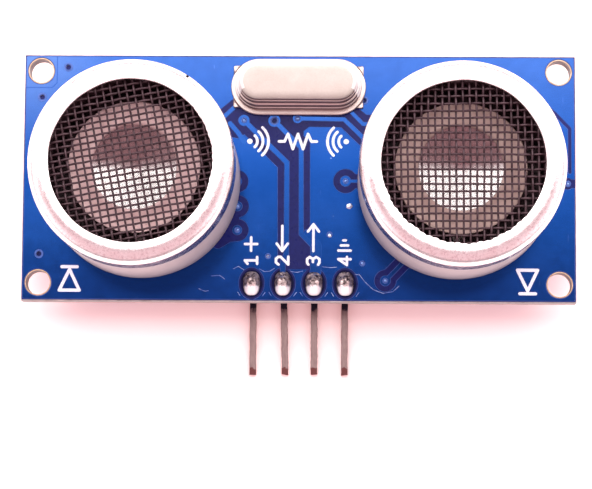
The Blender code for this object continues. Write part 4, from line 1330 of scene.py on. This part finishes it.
# Traces and pads of the back. The pour is broken by the traces' channels.
back_traces = [
    [(-9.3, 3.0), (-9.3, 4.6)], [(-16.2, 3.0), (-16.2, 4.6), (-17.0, 5.0)], [(-12.8, 4.45), (-12.8, 3.0)],
    [(-12.8, -5.15), (-12.8, -3.6)], [(-3.81, -8.74), (-3.81, -5.6), (-3.2, -4.9), (-3.2, -2.4)],
    [(-1.27, -8.74), (-1.27, -2.4)], [(1.27, -8.74), (1.27, -2.4)], [(3.81, -8.74), (3.81, -2.4)],
    [(3.81, -7.2), (7.6, -7.2), (8.6, -6.2)], [(-3.81, -7.2), (-7.4, -7.2), (-8.5, -8.0)],
    [(0.0, 3.2), (0.0, 4.9), (2.3, 7.42)], [(-2.54, 3.2), (-2.54, 7.42)], [(3.81, 3.2), (5.6, 5.0)],
    [(-5.8, 5.4), (-4.4, 4.2), (-3.8, 3.2)], [(10.3, 2.6), (10.3, 4.6), (9.9, 5.2)], [(12.8, 4.45), (12.8, 3.0)],
    [(12.8, -5.15), (12.8, -3.5)], [(15.3, 2.6), (16.2, 4.6), (16.2, 5.4)], [(17.8, 5.4), (20.2, 5.4), (20.2, 1.0)],
    [(-17.8, 5.4), (-19.6, 3.6), (-19.6, -4.0), (-18.0, -5.6)], [(-16.9, -5.0), (-16.2, -3.4)],
    [(-8.6, -6.2), (-7.3, -4.9), (-7.3, -1.0), (-6.3, -0.2)], [(7.3, 0.4), (8.2, 0.4), (8.2, 4.4), (8.7, 5.3)],
]
back_channels = [ribbon(line, 0.75) for line in back_traces]
back_channels += [ribbon([(p[0][0], p[0][1]), (p[2][0], p[2][1])], 1.35) for p in []]
pad_clear = []
for pad in pads:
    spots = np.array(pad)
    (x0, y0), (x1, y1) = spots.min(0), spots.max(0)
    pad_clear.append(rectangle(x0 - 0.16, y0 - 0.16, x1 + 0.16, y1 + 0.16))
pad_clear += [disc(x, y, 1.5, 40) for x, y in terminal_places]
pad_clear += [disc(x, y, 1.05, 32) for x, y in crystal_places]
pad_clear += [disc(x, y, 1.15, 32) for x, y in pin_places]
back_low, back_high = BACK - COPPER, BACK + 0.03
layer("back_mask_film", [bare_edge], BACK - MASK, BACK + 0.02, DARK, holes_clear)
layer("back_copper_pour", [pour_edge], back_low, back_high, BLUE, back_channels + pad_clear + holes_clear, 0.06, EDGE)
layer("back_traces", [ribbon(line, 0.34) for line in back_traces], back_low - 0.004, back_high - 0.004, BLUE, drills, 0.05, EDGE)
layer("back_pads", pads, BACK - 0.048, BACK + 0.01, TINNED, ())
make(
    "back_hole_rims",
    *joined([
        (v * np.array([1, 1, -1]) + np.array([0, 0, 2 * BACK]), [f[::-1] for f in faces])
        for v, faces in [ring(x, y, 1.085, 0.985, BACK - 0.1, BACK + 0.03, 64) for x, y in mount_places]
    ]),
    RIM, "pin_metal",
)


def tail_fillet(x, y, base_r, wire_r, height, seed):
    """Solder drawn up a round wire on the board's back."""
    profile = [(base_r, 0.0)]
    for k in range(1, 13):
        t = k / 12
        profile.append((wire_r + (base_r - wire_r) * (1 - t) ** 2.2, height * t ** 1.15 + 0.05 * (1 - t)))
    profile.append((wire_r - 0.05, height + 0.02))

    def uneven(r, angle, z):
        return r * (1 + 0.03 * np.sin(2 * angle + seed) + 0.02 * np.sin(5 * angle + seed)), z

    verts, faces = turned([(0.0, 0.0), *profile, (0.0, height + 0.02)], 48, False, uneven)
    verts = verts * np.array([1, 1, -1]) + np.array([BX + x, BY + y, BACK - COPPER])
    return verts, [f[::-1] for f in faces]


fillets = [tail_fillet(x, y, 1.2, 0.47, 1.35, k) for k, (x, y) in enumerate(terminal_places)]
fillets += [tail_fillet(x, y, 0.78, 0.24, 0.75, k + 5) for k, (x, y) in enumerate(crystal_places)]
make("back_tail_solder", *joined(fillets), SOLDER, "solder", angle=60)

# Printed outlines round the back's components.
back_lines = []
for node, length in (("driver_chip", 9.9), ("controller_chip", 8.65), ("amplifier_chip", 8.65)):
    low, high = corners(node)
    x, y = (low[0] + high[0]) / 2 - BX, (low[1] + high[1]) / 2 - BY
    a = length / 2 + 0.35
    for sx in (-1, 1):
        back_lines.append([(x + sx * a, y - 1.7), (x + sx * a, y + 1.7)])
    back_lines.append([(x - a - 0.35, y + 1.2), (x - a - 0.34, y + 1.2)])
for x, y, turn in outlines_round:
    a, b = (1.42, 0.72) if turn == 0 else (0.72, 1.42)
    back_lines += [[(x - a, y - b), (x + a, y - b)], [(x - a, y + b), (x + a, y + b)]] if turn == 0 else [[(x - a, y - b), (x - a, y + b)], [(x + a, y - b), (x + a, y + b)]]
back_lines += [[(-5.3, -7.3), (5.3, -7.3)], [(-5.3, -7.3), (-5.3, -9.6)], [(5.3, -7.3), (5.3, -9.6)]]
printed("print_back_outlines", [(0.13, back_lines)], BACK + 0.01, BACK - COPPER - 0.02)

# ---------------------------------------------- CAD nodes that stay as they are


def dress(node, material, edge=0.0, segments=2):
    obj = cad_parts[node]
    obj.data.materials.clear()
    obj.data.materials.append(material)
    if edge:
        rounded = obj.modifiers.new("edge", "BEVEL")
        rounded.width = edge * MM
        rounded.segments = segments
        rounded.limit_method = "ANGLE"
        rounded.angle_limit = math.radians(40)
        rounded.harden_normals = False




def pin(number):
    """A square pin, slightly waisted and with rounded corners: down through the
    board and the plastic, round a right angle, and out to a sawn end."""
    low, high = corners(f"header_pin_{number}")
    x = pin_joints[number - 1][0]
    row = pin_joints[number - 1][1]
    lean = (0.0, 0.155, 0.01, -0.02)[number - 1]
    half = 0.32
    across = half - 0.045
    path = [(row, high[2] - 0.15, 0.0), (row, high[2] - 0.3, 0.0), (row, 2.0, 0.0), (row, half * 2 + 0.06, 0.0)]
    hub_y, hub_z = row - half - 0.06, half * 2 + 0.06
    for step in range(1, 8):
        a = math.radians(90 * step / 8)
        path.append((hub_y + (half + 0.06) * math.cos(a), hub_z - (half + 0.06) * math.sin(a), a))
    ends = np.linspace(hub_y, low[1], 26)
    for y in ends:
        path.append((y, half, math.pi / 2))
    sections = []
    for k, (y, z, a) in enumerate(path):
        ny, nz = math.cos(a), -math.sin(a)
        out = max(0.0, (row - y) / (row - low[1]))
        side = across * (1 + 0.03 * math.sin(3.1 * k + number)) * (1 + 0.06 * (k == 0) * -4)
        depth = (half - 0.01) * (1 - 0.2 * (k == 0))
        points = rectangle(-side, -depth, side, depth, 0.075)
        shift = lean * out + 0.012 * math.sin(0.9 * k + 2 * number) * (out > 0.1)
        end = 0.0
        section = []
        for u, v in points:
            if k == len(path) - 1:
                end = 0.05 * math.sin(9 * u + number * 1.7) + 0.03 * (v > 0) + 0.05
            section.append((x + u + shift, y + v * ny + (end if k == len(path) - 1 else 0.0), z + v * nz))
        sections.append(section)
    verts, faces = loft(sections)
    return make(f"pin_{number}", verts, faces, PIN, "pin_metal", replaces=(f"header_pin_{number}",), angle=50)


for k in range(1, 5):
    pin(k)
dress("header_body", BLACK, 0.06, 2)
for label in ("tx", "rx"):
    dress(label + "_base_cup", CUP, 0.05)
    dress(label + "_seal_ring", RUBBER, 0.05)
    dress(label + "_piezo_disc", CERAMIC, 0.03)
    dress(label + "_diaphragm", BRASS, 0.03)
    for pole in ("pos", "neg"):
        dress(f"{label}_terminal_{pole}", TINNED, 0.03)
        dress(f"{label}_lead_wire_{pole}", TINNED)
dress("crystal_base", CRYSTAL, 0.03)
dress("crystal_lead_left", TINNED, 0.03)
dress("crystal_lead_right", TINNED, 0.03)
dress("crystal_quartz_blank", QUARTZ, 0.02)

# ------------------------------------------------------------- floor and light
mesh = bpy.data.meshes.new("floor")
reach = 1.6
mesh.from_pydata([(-reach, -reach, 0), (reach, -reach, 0), (reach, reach, 0), (-reach, reach, 0)], [], [(0, 1, 2, 3)])
f = Finish("floor_pale", 0.75, 0.0, (0.95, 0.92, 0.915))
f.set("Base Color", f.mix(f.span(f.noise(0.02, 2.0), 0.3, 0.7), (0.96, 0.925, 0.92), (0.95, 0.91, 0.905)))
# The floor glows faintly pink: where the board shades it the glow shows as a pink shadow, and where it is lit it is
# lost in the white.
f.set("Emission Color", (1.0, 0.34, 0.32))
f.set("Emission Strength", 0.29)
mesh.materials.append(f.material)
floor = bpy.data.objects.new("floor", mesh)
bpy.context.scene.collection.objects.link(floor)

scene = bpy.context.scene
world = bpy.data.worlds.new("studio")
scene.world = world
world.use_nodes = True
tree = world.node_tree
background = tree.nodes["Background"]
coordinates = tree.nodes.new("ShaderNodeTexCoord")
split = tree.nodes.new("ShaderNodeSeparateXYZ")
tree.links.new(coordinates.outputs["Generated"], split.inputs[0])


def span(value, a, b, to_a, to_b):
    made = tree.nodes.new("ShaderNodeMapRange")
    made.interpolation_type = "SMOOTHSTEP"
    for key, number in (("From Min", a), ("From Max", b), ("To Min", to_a), ("To Max", to_b)):
        made.inputs[key].default_value = number
    tree.links.new(value, made.inputs["Value"])
    return made.outputs["Result"]


def maths(operation, a, b=0.0):
    made = tree.nodes.new("ShaderNodeMath")
    made.operation = operation
    for socket, value in ((made.inputs[0], a), (made.inputs[1], b)):
        if isinstance(value, (int, float)):
            socket.default_value = value
        else:
            tree.links.new(value, socket)
    return made.outputs[0]


def slope(value, a, b, to_a, to_b):
    made = tree.nodes.new("ShaderNodeMapRange")
    for key, number in (("From Min", a), ("From Max", b), ("To Min", to_a), ("To Max", to_b)):
        made.inputs[key].default_value = number
    tree.links.new(value, made.inputs["Value"])
    return made.outputs["Result"]


# A broad white light behind and above the board's upper edge, growing from
# just past the zenith, a dimmer pinkish room in front, and a white horizon.
lit = maths("MULTIPLY", slope(split.outputs[1], 0.086, 0.20, 0.0, 3.6), span(split.outputs[2], 0.30, 0.85, 0.12, 1.0))
horizon = maths("MULTIPLY", span(split.outputs[2], 0.30, 0.02, 0.0, 1.1), slope(split.outputs[1], -0.5, -0.1, 1.0, 0.53))
front = slope(split.outputs[1], 0.1, -0.3, 0.70, 0.98)
side = maths("MULTIPLY", slope(maths("ABSOLUTE", split.outputs[0]), 0.45, 0.95, 0.0, 1.1), span(split.outputs[2], 0.12, 0.5, 0.0, 1.0))
level = maths("ADD", maths("ADD", maths("ADD", lit, side), horizon), front)
notch = maths("MULTIPLY", span(split.outputs[2], 0.02, 0.10, 0.0, 1.0), span(split.outputs[2], 0.45, 0.25, 0.0, 1.0))
notch = maths("MULTIPLY", notch, slope(split.outputs[1], -0.3, -0.8, 0.0, 0.55))
level = maths("MULTIPLY", level, maths("SUBTRACT", 1.0, notch))
tint = tree.nodes.new("ShaderNodeMix")
tint.data_type = "RGBA"
tree.links.new(maths("MINIMUM", maths("MULTIPLY", maths("ADD", maths("ADD", lit, side), horizon), 0.8), 1.0), tint.inputs[0])
tint.inputs[6].default_value = (1.0, 0.66, 0.71, 1.0)
tint.inputs[7].default_value = (1.0, 0.97, 0.965, 1.0)
tree.links.new(tint.outputs[2], background.inputs["Color"])
tree.links.new(level, background.inputs["Strength"])

camera = bpy.data.objects.new("camera", bpy.data.cameras.new("camera"))
scene.collection.objects.link(camera)
scene.camera = camera
camera.location = (0.00284, -0.02251, 0.19409)
camera.rotation_euler = tuple(math.radians(a) for a in (6.023, 0.883, 0.379))
camera.data.sensor_width = 36.0
camera.data.lens = 2332.8 / 592 * 36.0
camera.data.clip_start, camera.data.clip_end = 0.01, 20.0
scene.view_settings.view_transform = "Standard"
